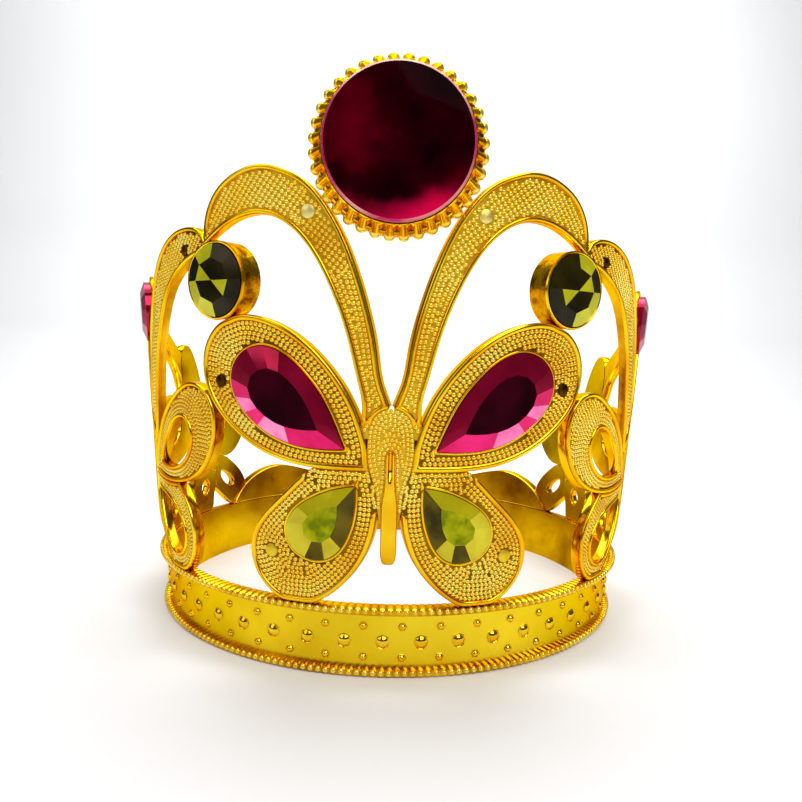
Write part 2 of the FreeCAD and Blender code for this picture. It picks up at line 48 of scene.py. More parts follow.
MM = 0.001
FLARE = 0.07
FACE = 74.8
FIELD_OUT = -0.8
BACK_OUT = -3.0
BAND_BACK_OUT = -3.9
DEVELOPED = 80.0
BAND_HEIGHT = 18.0
RIM_HEIGHT = 2.1
WALL_OUT = -2.1
LOWER_RIM_RADIUS = 75.0
UPPER_RIM_RADIUS = 76.4
RIB_COUNT = 236

# -------- places on the crown


def on_crown(u, v, out):
    """Points (n x 3) of the crown, in its own axes."""
    u, v, out = np.broadcast_arrays(np.asarray(u, float), v, out)
    radius = FACE + FLARE * v + out
    return np.stack([radius * np.sin(u / DEVELOPED), -radius * np.cos(u / DEVELOPED), v], -1)


def axes_at(u):
    """Across, up and outwards, square to the crown's face, for each u."""
    u = np.asarray(u, float) / DEVELOPED
    lean = math.atan(FLARE)
    across = np.stack([np.cos(u), np.sin(u), np.zeros_like(u)], -1)
    radial = np.stack([np.sin(u), -np.cos(u), np.zeros_like(u)], -1)
    upright = np.zeros_like(radial)
    upright[..., 2] = 1.0
    outwards = radial * math.cos(lean) - upright * math.sin(lean)
    up = radial * math.sin(lean) + upright * math.cos(lean)
    return across, up, outwards


def set_back(u, v, out, middle):
    """u on the layer at out, straight behind (u, v) of the face along a middle angle (radians)."""
    face = FACE + FLARE * v
    turn = np.arcsin(np.clip(face / (face + out) * np.sin(u / DEVELOPED - middle), -1.0, 1.0))
    return (middle + turn) * DEVELOPED


# -------- meshes


def in_scene(name, data):
    """A new object with that data, linked into the scene."""
    obj = bpy.data.objects.new(name, data)
    bpy.context.scene.collection.objects.link(obj)
    return obj


class Shape:
    """Vertices and faces gathered for one piece."""

    def __init__(self):
        self.points = []
        self.faces = []
        self.finish = []
        self.smooth = []
        self.count = 0

    def add(self, points, faces, finish=0, smooth=True):
        points = np.asarray(points, float).reshape(-1, 3)
        self.points.append(points)
        start = self.count
        self.faces.extend([tuple(start + int(i) for i in face) for face in faces])
        self.finish.extend([finish] * len(faces))
        self.smooth.extend([smooth] * len(faces))
        self.count += len(points)

    def copies(self, points, faces, finish=0, smooth=True):
        """Many like shapes: points is (copies x n x 3), and the faces are those of one copy."""
        number, size = points.shape[:2]
        every = [tuple(k * size + i for i in face) for k in range(number) for face in faces]
        self.add(points.reshape(-1, 3), every, finish, smooth)

    def piece(self, name, materials, slot, *nodes, mirror=False):
        """Makes the object, which rides on the crown's one body and stands for CAD nodes."""
        points = np.concatenate(self.points) * MM
        faces = self.faces
        if mirror:
            points = points * np.array([-1.0, 1.0, 1.0])
            faces = turned_over(faces)
        mesh = bpy.data.meshes.new(name)
        mesh.from_pydata(points.tolist(), [], faces)
        for material in materials:
            mesh.materials.append(material)
        mesh.polygons.foreach_set("material_index", self.finish)
        mesh.polygons.foreach_set("use_smooth", self.smooth)
        mesh.set_sharp_from_angle(angle=math.radians(42))
        mesh.validate()
        mesh.update()
        obj = in_scene(name, mesh)
        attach(obj, "root")
        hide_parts(*nodes)


def grid_faces(rows, columns, wrap=True, ring=False):
    """Quads of a grid whose points run along each row in turn. A wrapped grid closes each row, and
    a ring also joins the last row to the first."""
    faces = []
    for row in range(rows if ring else rows - 1):
        here = row * columns
        above = (row + 1) % rows * columns
        for column in range(columns if wrap else columns - 1):
            after = (column + 1) % columns
            faces.append((here + column, here + after, above + after, above + column))
    return faces


def turned_over(faces):
    return [tuple(reversed(face)) for face in faces]


# -------- outlines from the CAD nodes


ON_FACE = 0.03
FACING_OUT = 0.5
FEWEST_POINTS = 6


def outlines_of(node, level=0.0):
    """The outlines of a node's outer face as closed (u, v) loops, the material on their left.

    level is how far that face stands outside the butterflies' faces."""
    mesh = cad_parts[node].data
    corners = np.array([vertex.co for vertex in mesh.vertices]) / MM
    keys = {}
    place = [keys.setdefault(tuple(np.round(corner, 3)), len(keys)) for corner in corners]
    where = {place[i]: corners[i] for i in range(len(corners))}
    out = np.hypot(corners[:, 0], corners[:, 1]) - (FACE + level + FLARE * corners[:, 2])
    on_face = np.abs(out) < ON_FACE
    edges = set()
    for polygon in mesh.polygons:
        vertices = list(polygon.vertices)
        centre = np.mean(corners[vertices], 0)[:2]
        facing = np.dot(centre, polygon.normal[:2]) > FACING_OUT * np.hypot(*centre)
        if facing and on_face[vertices].all():
            for a, b in zip(vertices, vertices[1:] + vertices[:1]):
                edges.add((place[a], place[b]))
    following = {a: b for a, b in sorted(edges) if (b, a) not in edges}
    behind = corners[:, 1].min() > 0
    loops = []
    while following:
        first = min(following)
        chain = [first]
        here = following.pop(first)
        while here != first and here in following:
            chain.append(here)
            here = following.pop(here)
        spots = np.array([where[i] for i in chain])
        angle = np.arctan2(spots[:, 0], -spots[:, 1])
        if behind:
            angle = angle % (2 * math.pi)
        loops.append(np.stack([angle * DEVELOPED, spots[:, 2]], -1))
    loops = [loop for loop in loops if len(loop) >= FEWEST_POINTS]
    return sorted(loops, key=lambda loop: -abs(area_of(loop)))


def area_of(loop):
    """The area inside a closed loop, positive where it runs anticlockwise."""
    x, y = loop.T
    return 0.5 * float(np.dot(x, np.roll(y, -1)) - np.dot(y, np.roll(x, -1)))


CORNER = math.radians(34)
SHORTEST_SIDE = 0.06
SMOOTHINGS = 3
SHARPEST_OFFSET = 0.42


def lengths_along(line):
    return np.concatenate([[0], np.cumsum(np.hypot(*np.diff(line, axis=0).T))])


def points_along(line, along, places):
    """Points of a line at places measured along it."""
    return np.stack([np.interp(places, along, line[:, k]) for k in (0, 1)], -1)


def resampled(loop, step):
    """The loop with evenly spaced points, a little smoothed between its corners."""
    loop = loop[np.hypot(*(loop - np.roll(loop, 1, 0)).T) > SHORTEST_SIDE]
    before = loop - np.roll(loop, 1, 0)
    after = np.roll(loop, -1, 0) - loop
    turn = np.arctan2(before[:, 0] * after[:, 1] - before[:, 1] * after[:, 0], (before * after).sum(1))
    corners = list(np.nonzero(np.abs(turn) > CORNER)[0])
    held = bool(corners)
    corners = corners or [0]
    points, fixed = [], []
    for number, start in enumerate(corners):
        stop = corners[(number + 1) % len(corners)]
        stop = stop if stop > start else stop + len(loop)
        stretch = loop[np.arange(start, stop + 1) % len(loop)]
        along = lengths_along(stretch)
        count = max(1, round(along[-1] / step))
        points.append(points_along(stretch, along, np.linspace(0, along[-1], count + 1)[:-1]))
        fixed += [held] + [False] * (count - 1)
    points = np.concatenate(points)
    fixed = np.array(fixed)
    for _ in range(SMOOTHINGS):
        mean = (np.roll(points, 1, 0) + 2 * points + np.roll(points, -1, 0)) / 4
        points = np.where(fixed[:, None], points, mean)
    return points


def inward_normals(loop):
    """Vectors into the material, longer at a corner so that offset sides stay parallel."""
    side = np.roll(loop, -1, 0) - loop
    side /= np.hypot(*side.T)[:, None] + 1e-12
    normal = np.stack([-side[:, 1], side[:, 0]], -1)
    both = normal + np.roll(normal, 1, 0)
    both /= np.hypot(*both.T)[:, None] + 1e-12
    return both / np.clip((both * normal).sum(1), SHARPEST_OFFSET, 1.0)[:, None]


def distance_to(points, loop, kept=None):
    """The distance of each point from a closed loop, or from those of its sides that are kept."""
    start = loop
    side = np.roll(loop, -1, 0) - loop
    if kept is not None:
        start, side = start[kept], side[kept]
    if not len(start):
        return np.full(len(points), np.inf)
    result = []
    for block in np.array_split(points, max(1, len(points) // 1500)):
        from_start = block[:, None, :] - start[None]
        share = np.clip((from_start * side).sum(2) / ((side**2).sum(1) + 1e-12), 0, 1)
        result.append(np.sqrt(((from_start - share[..., None] * side) ** 2).sum(2)).min(1))
    return np.concatenate(result)


def inside(points, loops):
    """Whether each point is inside the outline and outside its holes."""
    crossings = np.zeros(len(points), int)
    for loop in loops:
        x0, y0 = loop.T
        x1, y1 = np.roll(loop, -1, 0).T
        px, py = points[:, 0][:, None], points[:, 1][:, None]
        straddles = (y0 > py) != (y1 > py)
        with np.errstate(divide="ignore", invalid="ignore"):
            where = x0 + (py - y0) / (y1 - y0) * (x1 - x0)
        crossings += (straddles & (px < where)).sum(1)
    return crossings % 2 == 1


def lattice(low, high, step):
    """A square grid of points over a box."""
    xs = np.arange(low[0], high[0] + step, step)
    ys = np.arange(low[1], high[1] + step, step)
    return np.stack(np.meshgrid(xs, ys), -1).reshape(-1, 2)


def triangulated(loops, extra):
    """Triangles between the loops that use the extra points: (points, triangles)."""
    points = np.concatenate([*loops, extra])
    edges = []
    start = 0
    for loop in loops:
        count = len(loop)
        edges += [(start + i, start + (i + 1) % count) for i in range(count)]
        start += count
    made = delaunay_2d_cdt([tuple(p) for p in points], edges, [], 0, 1e-4, False)
    spots = np.array([tuple(p) for p in made[0]])
    faces = np.array([face for face in made[2] if len(face) == 3])
    keep = inside(spots[faces].mean(1), loops)
    return spots, faces[keep]


# -------- beads

BEAD_SIDES = 8
BEAD_SHARE = 0.5
BEAD_RISE = 0.4
BEAD_RINGS = [(1.0, -0.12), (0.97, 0.3), (0.72, 0.74), (0.34, 0.96)]
ROW_SLACK = 0.12
ROW_START = 0.25


def bead_shape(radius, height):
    """A small dome: (points, faces). Its foot reaches a little below z 0."""
    turns = np.arange(BEAD_SIDES) * 2 * math.pi / BEAD_SIDES
    points = [
        [radius * r * math.cos(t), radius * r * math.sin(t), height * z] for r, z in BEAD_RINGS for t in turns
    ]
    points.append([0, 0, height])
    top = len(points) - 1
    faces = grid_faces(len(BEAD_RINGS), BEAD_SIDES)
    last = (len(BEAD_RINGS) - 1) * BEAD_SIDES
    faces += [(last + i, last + (i + 1) % BEAD_SIDES, top) for i in range(BEAD_SIDES)]
    faces.append(tuple(reversed(range(BEAD_SIDES))))
    return np.array(points), faces


def standing_at(spots, out, points):
    """The points of a small shape at each (u, v) spot, square to the crown: (copies x n x 3)."""
    across, up, outwards = axes_at(spots[:, 0])
    feet = on_crown(spots[:, 0], spots[:, 1], out)
    return (
        feet[:, None, :]
        + points[None, :, 0, None] * across[:, None, :]
        + points[None, :, 1, None] * up[:, None, :]
        + points[None, :, 2, None] * outwards[:, None, :]
    )


def add_beads(shape, spots, pitch, out, finish):
    """Beads that suit a pitch, standing on the crown at (u, v) spots."""
    if len(spots):
        points, faces = bead_shape(BEAD_SHARE * pitch, BEAD_RISE * pitch)
        shape.copies(standing_at(spots, out, points), faces, finish)


def spread_out(candidates, gap):
    """The candidates, in order, that are at least a gap apart."""
    cells = {}
    kept = []
    for spot in candidates:
        cx, cy = int(spot[0] // gap), int(spot[1] // gap)
        near = [s for dx in (-1, 0, 1) for dy in (-1, 0, 1) for s in cells.get((cx + dx, cy + dy), ())]
        if all((s[0] - spot[0]) ** 2 + (s[1] - spot[1]) ** 2 >= gap * gap for s in near):
            cells.setdefault((cx, cy), []).append(spot)
            kept.append(spot)
    return np.array(kept).reshape(-1, 2)


def row_along(loop, distance, pitch):
    """Spots at a pitch along the loop moved inwards, where it stays that far from the loop."""
    curve = loop + inward_normals(loop) * distance
    curve = np.concatenate([curve, curve[:1]])
    true = distance_to(curve, loop) > distance - ROW_SLACK
    ends = np.nonzero(np.diff(true))[0] + 1
    spots = [np.zeros((0, 2))]
    for stretch, kept in zip(np.split(curve, ends), np.split(true, ends)):
        if kept[0] and len(stretch) > 1:
            along = lengths_along(stretch)
            count = max(1, round(along[-1] / pitch))
            spots.append(points_along(stretch, along, (np.arange(count) + ROW_START) * along[-1] / count))
    return np.concatenate(spots)


def fill_gaps(spots, area, gap):
    """The spots, and more from the area, each as near to the others as the gap allows."""
    near = np.full(len(area), np.inf)
    for block in np.array_split(spots, max(1, len(spots) // 200)):
        if len(block):
            near = np.minimum(near, np.sqrt(((area[:, None] - block[None]) ** 2).sum(2)).min(1))
    new = [spots]
    while (near >= gap).any():
        pick = int(np.argmin(np.where(near >= gap, near, np.inf)))
        new.append(area[pick][None])
        near = np.minimum(near, np.hypot(*(area - area[pick]).T))
    return np.concatenate(new)


# -------- mouldings

EDGE_SHARES = (0.04, 0.13, 0.28, 0.5, 0.72, 0.87, 0.96, 1.0)
OUTLINE_STEP = 0.75
BACK_ROUND = 0.35
LIP_WIDTH = 0.7
LIP_HEIGHT = 0.45
FILL_STEP = 2.3
DISC_SIDES = 20
BEAD_ROWS = 14
FIRST_ROW = 0.44
ROW_PITCH = 0.9
HEAD_PITCH = 0.97
HEAD_TURN = math.radians(38)
BEAD_GAP = 0.86
FILL_GAP = 0.8
AREA_STEP = 0.24
CLEAR_OF_EDGE = 0.36
CLEAR_OF_SIDE = 0.34


def edge_profile(distance, width, low, high):
    """The height of a rounded raised edge at a distance from its outline."""
    share = np.clip(np.abs(2 * distance / width - 1), 0, 1)
    return low + (high - low) * (1 - share**2.6) ** (1 / 2.6)


TOUCHING = 0.15
WALL_MIDDLES = []


def middles_of(outer, loops):
    """The angle that the walls run along at each point of the loops: an earlier neighbour's where
    it touches them, and else the middle of the piece itself."""
    own = (outer[:, 0].min() + outer[:, 0].max()) / 2 / DEVELOPED
    found = []
    for loop in loops:
        middle = np.full(len(loop), own)
        for other, angle in WALL_MIDDLES:
            middle[distance_to(loop, other) < TOUCHING] = angle
        found.append(middle)
    WALL_MIDDLES.append((outer, own))
    return found


def raised_sides(loop, flat_where):
    """Which sides of a loop carry a raised edge: all but those with an end in the flat part."""
    free = ~flat_where(loop)
    return free & np.roll(free, -1)


def nowhere(spots):
    return np.zeros(len(spots), bool)


def everywhere(spots):
    return np.ones(len(spots), bool)


def add_disc(shape, u, v, radius, out):
    """A small polished disc that stands on a field of beads."""
    turns = np.arange(DISC_SIDES) * 2 * math.pi / DISC_SIDES
    rings = [(0.01, 0.5), (radius - 0.3, 0.42), (radius - 0.08, 0.3), (radius, -0.1)]
    across, up, outwards = axes_at(u)
    foot = on_crown(u, v, out)
    points = [
        foot + r * math.cos(t) * across + r * math.sin(t) * up + z * outwards for r, z in rings for t in turns
    ]
    # The disc's finish is set by the piece: a painted highlight on the loops, a painted dark reflection on
    # the upper wings.
    shape.add(points, turned_over(grid_faces(len(rings), DISC_SIDES)), 5)


def moulding(
    shape, node, edge=1.4, hole_edge=1.2, through=False, back=BACK_OUT, field=FIELD_OUT,
    pitch=1.25, rows_from_hole=False, ladder_below=None, discs=(), flat_where=nowhere, radial=False,
):
    """One moulding: rounded edges round a lower field of beads, side walls and a plain back.

    through says whether the node's inner outlines are holes or the pockets of gems. The rows of
    beads follow the outline, or the hole where rows_from_hole is true, and above the height
    ladder_below they give way to a slanting grid. flat_where marks the places on the outline
    without a raised edge. The walls run back along the middle angle of the piece, or along each
    point's own angle where radial is true."""
    loops = [resampled(loop, OUTLINE_STEP) for loop in outlines_of(node)]
    outer, inner = loops[0], loops[1:]
    cutting = loops if through else [outer]
    widths = [edge] + [hole_edge if through else LIP_WIDTH] * len(inner)
    tops = [0.0] + [0.0 if through else field + LIP_HEIGHT] * len(inner)
    raised = [raised_sides(loop, flat_where) for loop in loops]

    def height_at(spots):
        height = np.full(len(spots), field)
        for loop, width, top, kept in zip(loops, widths, tops, raised):
            distance = distance_to(spots, loop, kept)
            bump = np.where(distance < width, edge_profile(distance, width, field, top), field)
            if loop is not outer and not through:
                bump = np.where(inside(spots, [loop]), field, bump)
            height = np.maximum(height, bump)
        return height

    fill = lattice(outer.min(0), outer.max(0), FILL_STEP)
    clear = np.ones(len(fill), bool)
    rows = []
    for loop, width, kept in zip(loops, widths, raised):
        normals = inward_normals(loop)
        for share in EDGE_SHARES:
            spots = loop + normals * width * share
            rows.append(spots[np.abs(distance_to(spots, loop, kept) - width * share) < 0.05])
        clear &= (distance_to(fill, loop, kept) > width + 0.6) & (distance_to(fill, loop) > 0.7)
    extra = np.concatenate([*rows, fill[clear]])
    near = np.min([distance_to(extra, loop) for loop in cutting], 0)
    extra = extra[inside(extra, cutting) & (near > 0.03)]
    if not through and inner:
        extra = np.concatenate([extra, *inner])
    spots, faces = triangulated(cutting, extra)
    height = height_at(spots)
    # The low faces take the field finish: painted shade in the recess, lighter on the body and the loops.
    on_edge = height[faces].max(1) > field + 0.06
    front = on_crown(spots[:, 0], spots[:, 1], height)
    shape.add(front, faces[on_edge], 0)
    shape.add(front, faces[~on_edge], 1)

    # Side walls run back from each outline, and turn into the back with a small round.
    backs = []
    middles = [loop[:, 0] / DEVELOPED for loop in cutting] if radial else middles_of(outer, cutting)
    steps = [(0.0, None), (0.0, back + BACK_ROUND), (0.3, back + 0.3 * BACK_ROUND), (1.0, back)]
    for loop, middle in zip(cutting, middles):
        walls = []
        for into, out in steps:
            out = height_at(loop) if out is None else np.full(len(loop), out)
            u = set_back(loop[:, 0], loop[:, 1], out, middle)
            spots = np.stack([u, loop[:, 1]], -1)
            spots = spots + inward_normals(spots) * BACK_ROUND * into
            walls.append(on_crown(spots[:, 0], spots[:, 1], out))
        # The walls take the wall finish, whose dark tone is painted shade.
        shape.add(np.concatenate(walls), turned_over(grid_faces(len(walls), len(loop))), 3)
        backs.append(spots)
    inner_fill = lattice(backs[0].min(0), backs[0].max(0), FILL_STEP)
    clear = inside(inner_fill, backs)
    for loop in backs:
        clear &= distance_to(inner_fill, loop) > 0.8
    back_spots, back_faces = triangulated(backs, inner_fill[clear])
    # The back takes the inside finish, whose dark blotches are painted shade.
    shape.add(on_crown(back_spots[:, 0], back_spots[:, 1], back), back_faces[:, ::-1], 4)

    for u, v, radius in discs:
        add_disc(shape, u, v, radius, field)

    def clear_of_edges(candidates):
        good = inside(candidates, [outer])
        for loop, width, kept in zip(loops, widths, raised):
            good &= distance_to(candidates, loop, kept) > width + CLEAR_OF_EDGE * pitch
            good &= distance_to(candidates, loop) > CLEAR_OF_SIDE * pitch
            if loop is not outer:
                good &= ~inside(candidates, [loop])
        for u, v, radius in discs:
            away = np.hypot(candidates[:, 0] - u, candidates[:, 1] - v)
            good &= away > radius + CLEAR_OF_SIDE * pitch
        return candidates[good]

    if rows_from_hole:
        guide, guide_edge = inner[0], widths[1]
    else:
        guide, guide_edge = outer, 0.0 if flat_where is everywhere else edge
    candidates = []
    for number in range(BEAD_ROWS):
        depth = guide_edge + pitch * (FIRST_ROW + ROW_PITCH * number)
        spots = clear_of_edges(row_along(guide, depth, pitch))
        if ladder_below is not None:
            spots = spots[spots[:, 1] < ladder_below]
        candidates.append(spots)
    if ladder_below is not None:
        diagonal = lattice(np.array([-70.0, -70.0]), np.array([70.0, 70.0]), pitch * HEAD_PITCH)
        cosine, sine = math.cos(HEAD_TURN), math.sin(HEAD_TURN)
        spin = np.array([[cosine, -sine], [sine, cosine]])
        head = diagonal @ spin.T + (outer.min(0) + outer.max(0)) / 2
        candidates.append(clear_of_edges(head[head[:, 1] >= ladder_below]))
    beads_at = spread_out(np.concatenate(candidates), BEAD_GAP * pitch)
    area = clear_of_edges(lattice(outer.min(0), outer.max(0), AREA_STEP))
    beads_at = fill_gaps(beads_at, area, FILL_GAP * pitch)
    add_beads(shape, beads_at, pitch, field, 2)
    return loops


# -------- materials


def node_of(tree, kind, **values):
    node = tree.nodes.new(kind)
    for name, value in values.items():
        setattr(node, name, value)
    return node


def noise_of(tree, place, scale, detail):
    """The value of a noise that is fixed to the object."""
    noise = node_of(tree, "ShaderNodeTexNoise")
    noise.inputs["Scale"].default_value = scale
    noise.inputs["Detail"].default_value = detail
    tree.links.new(place.outputs["Object"], noise.inputs["Vector"])
    return noise.outputs["Fac"]


GLOW_WANDER = 0.022
EDGE_TINT = (0.92, 0.58, 0.12)
LOW_TONE = 0.33
HIGH_TONE = 0.67
SMEAR_SCALE = 2.7
GRAIN_SCALE = 6
GRAIN_HEIGHT = 0.0004


def painted_lower_glow(tree, place, tone, colour, bright, low, high):
    """The colour with a painted glow, a brighter colour, mixed in below a height, which wanders with the
    tone's noise.
    """
    parts = node_of(tree, "ShaderNodeSeparateXYZ")
    tree.links.new(place.outputs["Object"], parts.inputs["Vector"])
    wander = node_of(tree, "ShaderNodeMath", operation="MULTIPLY_ADD")
    wander.inputs[1].default_value = -GLOW_WANDER
    tree.links.new(tone, wander.inputs[0])
    tree.links.new(parts.outputs["Z"], wander.inputs[2])
    fade = node_of(tree, "ShaderNodeMapRange", interpolation_type="SMOOTHSTEP")
    fade.inputs["From Min"].default_value = high - GLOW_WANDER / 2
    fade.inputs["From Max"].default_value = low - GLOW_WANDER / 2
    tree.links.new(wander.outputs["Value"], fade.inputs["Value"])
    mixed = node_of(tree, "ShaderNodeMix", data_type="RGBA")
    mixed.inputs["B"].default_value = (*bright, 1)
    tree.links.new(fade.outputs["Result"], mixed.inputs["Factor"])
    tree.links.new(colour, mixed.inputs["A"])
    return mixed.outputs["Result"]


def material_of(name, colours, metallic, roughness, scale, bump=0.0, bump_scale=None, gloss=0.5, glow=None):
    """A finish whose colour wanders between two or three tones, with its own fine unevenness.

    glow is (colour, low, high): a painted glow, a brighter colour that takes over, in blotches, below the
    height high and is strongest at low."""
    material = bpy.data.materials.new(name)
    material.use_nodes = True
    tree = material.node_tree
    shader = tree.nodes["Principled BSDF"]
    shader.inputs["Metallic"].default_value = metallic
    shader.inputs["Specular IOR Level"].default_value = gloss
    if metallic == 1.0:
        shader.inputs["Specular Tint"].default_value = (*EDGE_TINT, 1)
    place = node_of(tree, "ShaderNodeTexCoord")
    tone = noise_of(tree, place, scale, 4.0)
    ramp = node_of(tree, "ShaderNodeValToRGB")
    stops = ramp.color_ramp.elements
    stops[0].position = LOW_TONE
    stops[1].position = HIGH_TONE
    stops[0].color = (*colours[0], 1)
    stops[1].color = (*colours[-1], 1)
    if len(colours) == 3:
        stops.new(0.5).color = (*colours[1], 1)
    tree.links.new(tone, ramp.inputs["Fac"])
    colour = ramp.outputs["Color"]
    # Painted glow: a brighter colour low on the part.
    if glow:
        colour = painted_lower_glow(tree, place, tone, colour, *glow)
    tree.links.new(colour, shader.inputs["Base Color"])
    rough = node_of(tree, "ShaderNodeMapRange")
    rough.inputs["To Min"].default_value = roughness[0]
    rough.inputs["To Max"].default_value = roughness[1]
    tree.links.new(noise_of(tree, place, scale * SMEAR_SCALE, 3.0), rough.inputs["Value"])
    tree.links.new(rough.outputs["Result"], shader.inputs["Roughness"])
    if bump:
        grain = noise_of(tree, place, bump_scale or scale * GRAIN_SCALE, 2.0)
        raised = node_of(tree, "ShaderNodeBump")
        raised.inputs["Strength"].default_value = bump
        raised.inputs["Distance"].default_value = GRAIN_HEIGHT
        tree.links.new(grain, raised.inputs["Height"])
        tree.links.new(raised.outputs["Normal"], shader.inputs["Normal"])
    return material


GOLD_EDGE = material_of(
    "gold_polished", [(0.8, 0.34, 0.003), (0.92, 0.55, 0.01), (0.98, 0.7, 0.03)],
    1.0, (0.1, 0.24), 60, 0.12, 420
)
# Painted shade: the field between the beads is a far darker gold than the edges, for the shade in these
# recesses.
GOLD_FIELD_PAINTED_SHADE = material_of(
    "gold_recess_painted_shade", [(0.12, 0.045, 0.001), (0.36, 0.19, 0.004)], 1.0, (0.3, 0.45), 90, 0.3, 900
)
# Painted light: a lighter copy of the field for the body and the loops, which the lamps light more.
GOLD_FIELD_PAINTED_LIGHT = material_of(
    "gold_recess_painted_light", [(0.6, 0.34, 0.008), (0.9, 0.6, 0.03)], 0.8, (0.3, 0.45), 90, 0.3, 900
)
GOLD_BEAD = material_of(
    "gold_beads", [(0.9, 0.52, 0.015), (1.0, 0.69, 0.05), (1.0, 0.8, 0.14)], 0.75, (0.2, 0.32), 70, 0.05, 500
)
# Painted shade: the rims' ribs are a darker gold than the edges, for the shade behind the beads.
GOLD_RIB_PAINTED_SHADE = material_of(
    "gold_ribs_painted_shade", [(0.46, 0.19, 0.003), (0.86, 0.52, 0.012)], 1.0, (0.14, 0.28), 60, 0.1, 420
)
# Painted shade: the dark tone of the side walls, which is also used on the tail and on the crest's disc,
# stands in for shade.
GOLD_WALL_PAINTED_SHADE = material_of(
    "gold_side_walls_painted_shade", [(0.34, 0.11, 0.002), (0.84, 0.46, 0.008), (0.96, 0.66, 0.02)],
    1.0, (0.08, 0.2), 45, 0.14, 260
)
# The inside and the backs are a satin gold, and their dark blotches are painted shade.
GOLD_BACK_PAINTED_SHADE = material_of(
    "gold_inside_painted_shade", [(0.22, 0.08, 0.001), (0.76, 0.46, 0.004), (0.9, 0.62, 0.008)],
    1.0, (0.22, 0.36), 30, 0.25, 180
)
GOLD_BAND = material_of(
    "gold_band", [(0.8, 0.52, 0.008), (0.9, 0.64, 0.014), (0.95, 0.7, 0.022)],
    1.0, (0.24, 0.36), 40, 0.12, 700
)
GOLD_STUD = material_of("gold_studs", [(0.84, 0.48, 0.008), (0.96, 0.68, 0.03)], 1.0, (0.05, 0.12), 200)
GOLD_CUP = material_of(
    "gold_cup_wall", [(0.22, 0.08, 0.003), (0.76, 0.38, 0.008), (0.95, 0.62, 0.02)],
    1.0, (0.12, 0.3), 300, 0.3, 900
)
# One polished disc in three tones: pale cream on the loops is a painted highlight, dark brown on the upper
# wings a painted dark reflection, and dull gold on the lower wings.
DISC_PAINTED_HIGHLIGHT = material_of("gold_disc", [(0.92, 0.7, 0.12), (1.0, 0.86, 0.34)], 1.0, (0.35, 0.5), 200, 0.15, 900)
DULL_DISC = material_of(
    "dull_gold_disc", [(0.74, 0.5, 0.02), (0.86, 0.62, 0.04)], 1.0, (0.35, 0.5), 200, 0.15, 900
)
DISC_PAINTED_DARK_REFLECTION = material_of(
    "disc_painted_dark_reflection", [(0.05, 0.02, 0.002), (0.16, 0.07, 0.005)], 1.0, (0.25, 0.4), 200, 0.15, 900
)
# Lit and shaded copies of the red gems' facets: the darker red is painted shade, the pink is painted
# reflections of the bright floor, and the near-black table is a painted dark reflection.
RED_FACETS_PAINTED_SHADE = material_of("red_facets_painted_shade", [(0.34, 0.002, 0.03), (0.56, 0.006, 0.06)], 0.7, (0.05, 0.11), 120)
RED_FACET = material_of("red_facets", [(0.62, 0.006, 0.08), (0.84, 0.02, 0.18)], 0.85, (0.05, 0.11), 120)
RED_FACETS_PAINTED_HIGHLIGHT = material_of("red_facets_painted_highlight", [(0.9, 0.1, 0.36), (1.0, 0.32, 0.58)], 0.8, (0.05, 0.12), 160)
RED_TABLE_PAINTED_DARK_REFLECTION = material_of(
    "red_table_painted_dark_reflection", [(0.004, 0.0, 0.0004), (0.04, 0.0, 0.006)], 0.0, (0.05, 0.1), 90, gloss=0.02
)
# Lit and shaded copies of the green gems' facets: the bright yellow facets are painted highlights, and the
# near-black ones are painted shade.
GREEN_FACETS_PAINTED_LIGHT = material_of("green_facets_painted_light", [(0.56, 0.46, 0.003), (0.74, 0.64, 0.008)], 0.4, (0.06, 0.14), 140)
GREEN_FACETS_PAINTED_SHADE = material_of(
    "green_facets_painted_shade", [(0.03, 0.022, 0.001), (0.14, 0.1, 0.003)], 0.8, (0.05, 0.12), 160
)
GREEN_TABLE = material_of(
    "green_table", [(0.16, 0.2, 0.001), (0.32, 0.34, 0.002), (0.46, 0.46, 0.004)],
    0.0, (0.06, 0.12), 330, gloss=0.04
)
# Lit and shaded copies of the olive gems' facets: the near-black facets are painted shade, and the bright
# ones are painted highlights.
OLIVE_FACETS_PAINTED_SHADE = material_of(
    "olive_facets_painted_shade", [(0.006, 0.005, 0.001), (0.03, 0.022, 0.002)], 0.2, (0.05, 0.12), 140, gloss=0.2
)
OLIVE_FACETS_PAINTED_HIGHLIGHT = material_of(
    "olive_facets_painted_highlight", [(0.56, 0.53, 0.006), (0.76, 0.72, 0.02)], 0.3, (0.05, 0.12), 160
)
# The crest gem's table is near black with a painted glow: a brighter red blotched in low down.
CRIMSON = material_of(
    "crimson_table", [(0.005, 0.0, 0.0006), (0.022, 0.0, 0.0018), (0.11, 0.0, 0.006)],
    0.0, (0.05, 0.12), 55, 0.05, 60, gloss=0.01, glow=((0.72, 0.002, 0.06), 0.1065, 0.1165)
)
CRIMSON_GIRDLE = material_of(
    "crimson_girdle", [(0.05, 0.0, 0.008), (0.14, 0.0, 0.02)], 0.3, (0.08, 0.16), 90, gloss=0.3
)
# Painted light: the gem's shoulder is a lighter red with cream blotches, for the light it catches.
CRIMSON_RIM_PAINTED_LIGHT = material_of(
    "crimson_rim_painted_light", [(0.5, 0.008, 0.09), (0.62, 0.02, 0.12), (0.9, 0.42, 0.36)],
    0.2, (0.12, 0.25), 60, gloss=0.4
)

# Both sets carry painted shade in the field, the side walls and the back; the second has the lighter field,
# painted light.
MOULDING_FINISHES = [GOLD_EDGE, GOLD_FIELD_PAINTED_SHADE, GOLD_BEAD, GOLD_WALL_PAINTED_SHADE, GOLD_BACK_PAINTED_SHADE]
LIGHT_FINISHES = [GOLD_EDGE, GOLD_FIELD_PAINTED_LIGHT, GOLD_BEAD, GOLD_WALL_PAINTED_SHADE, GOLD_BACK_PAINTED_SHADE]

# -------- the butterflies' mouldings


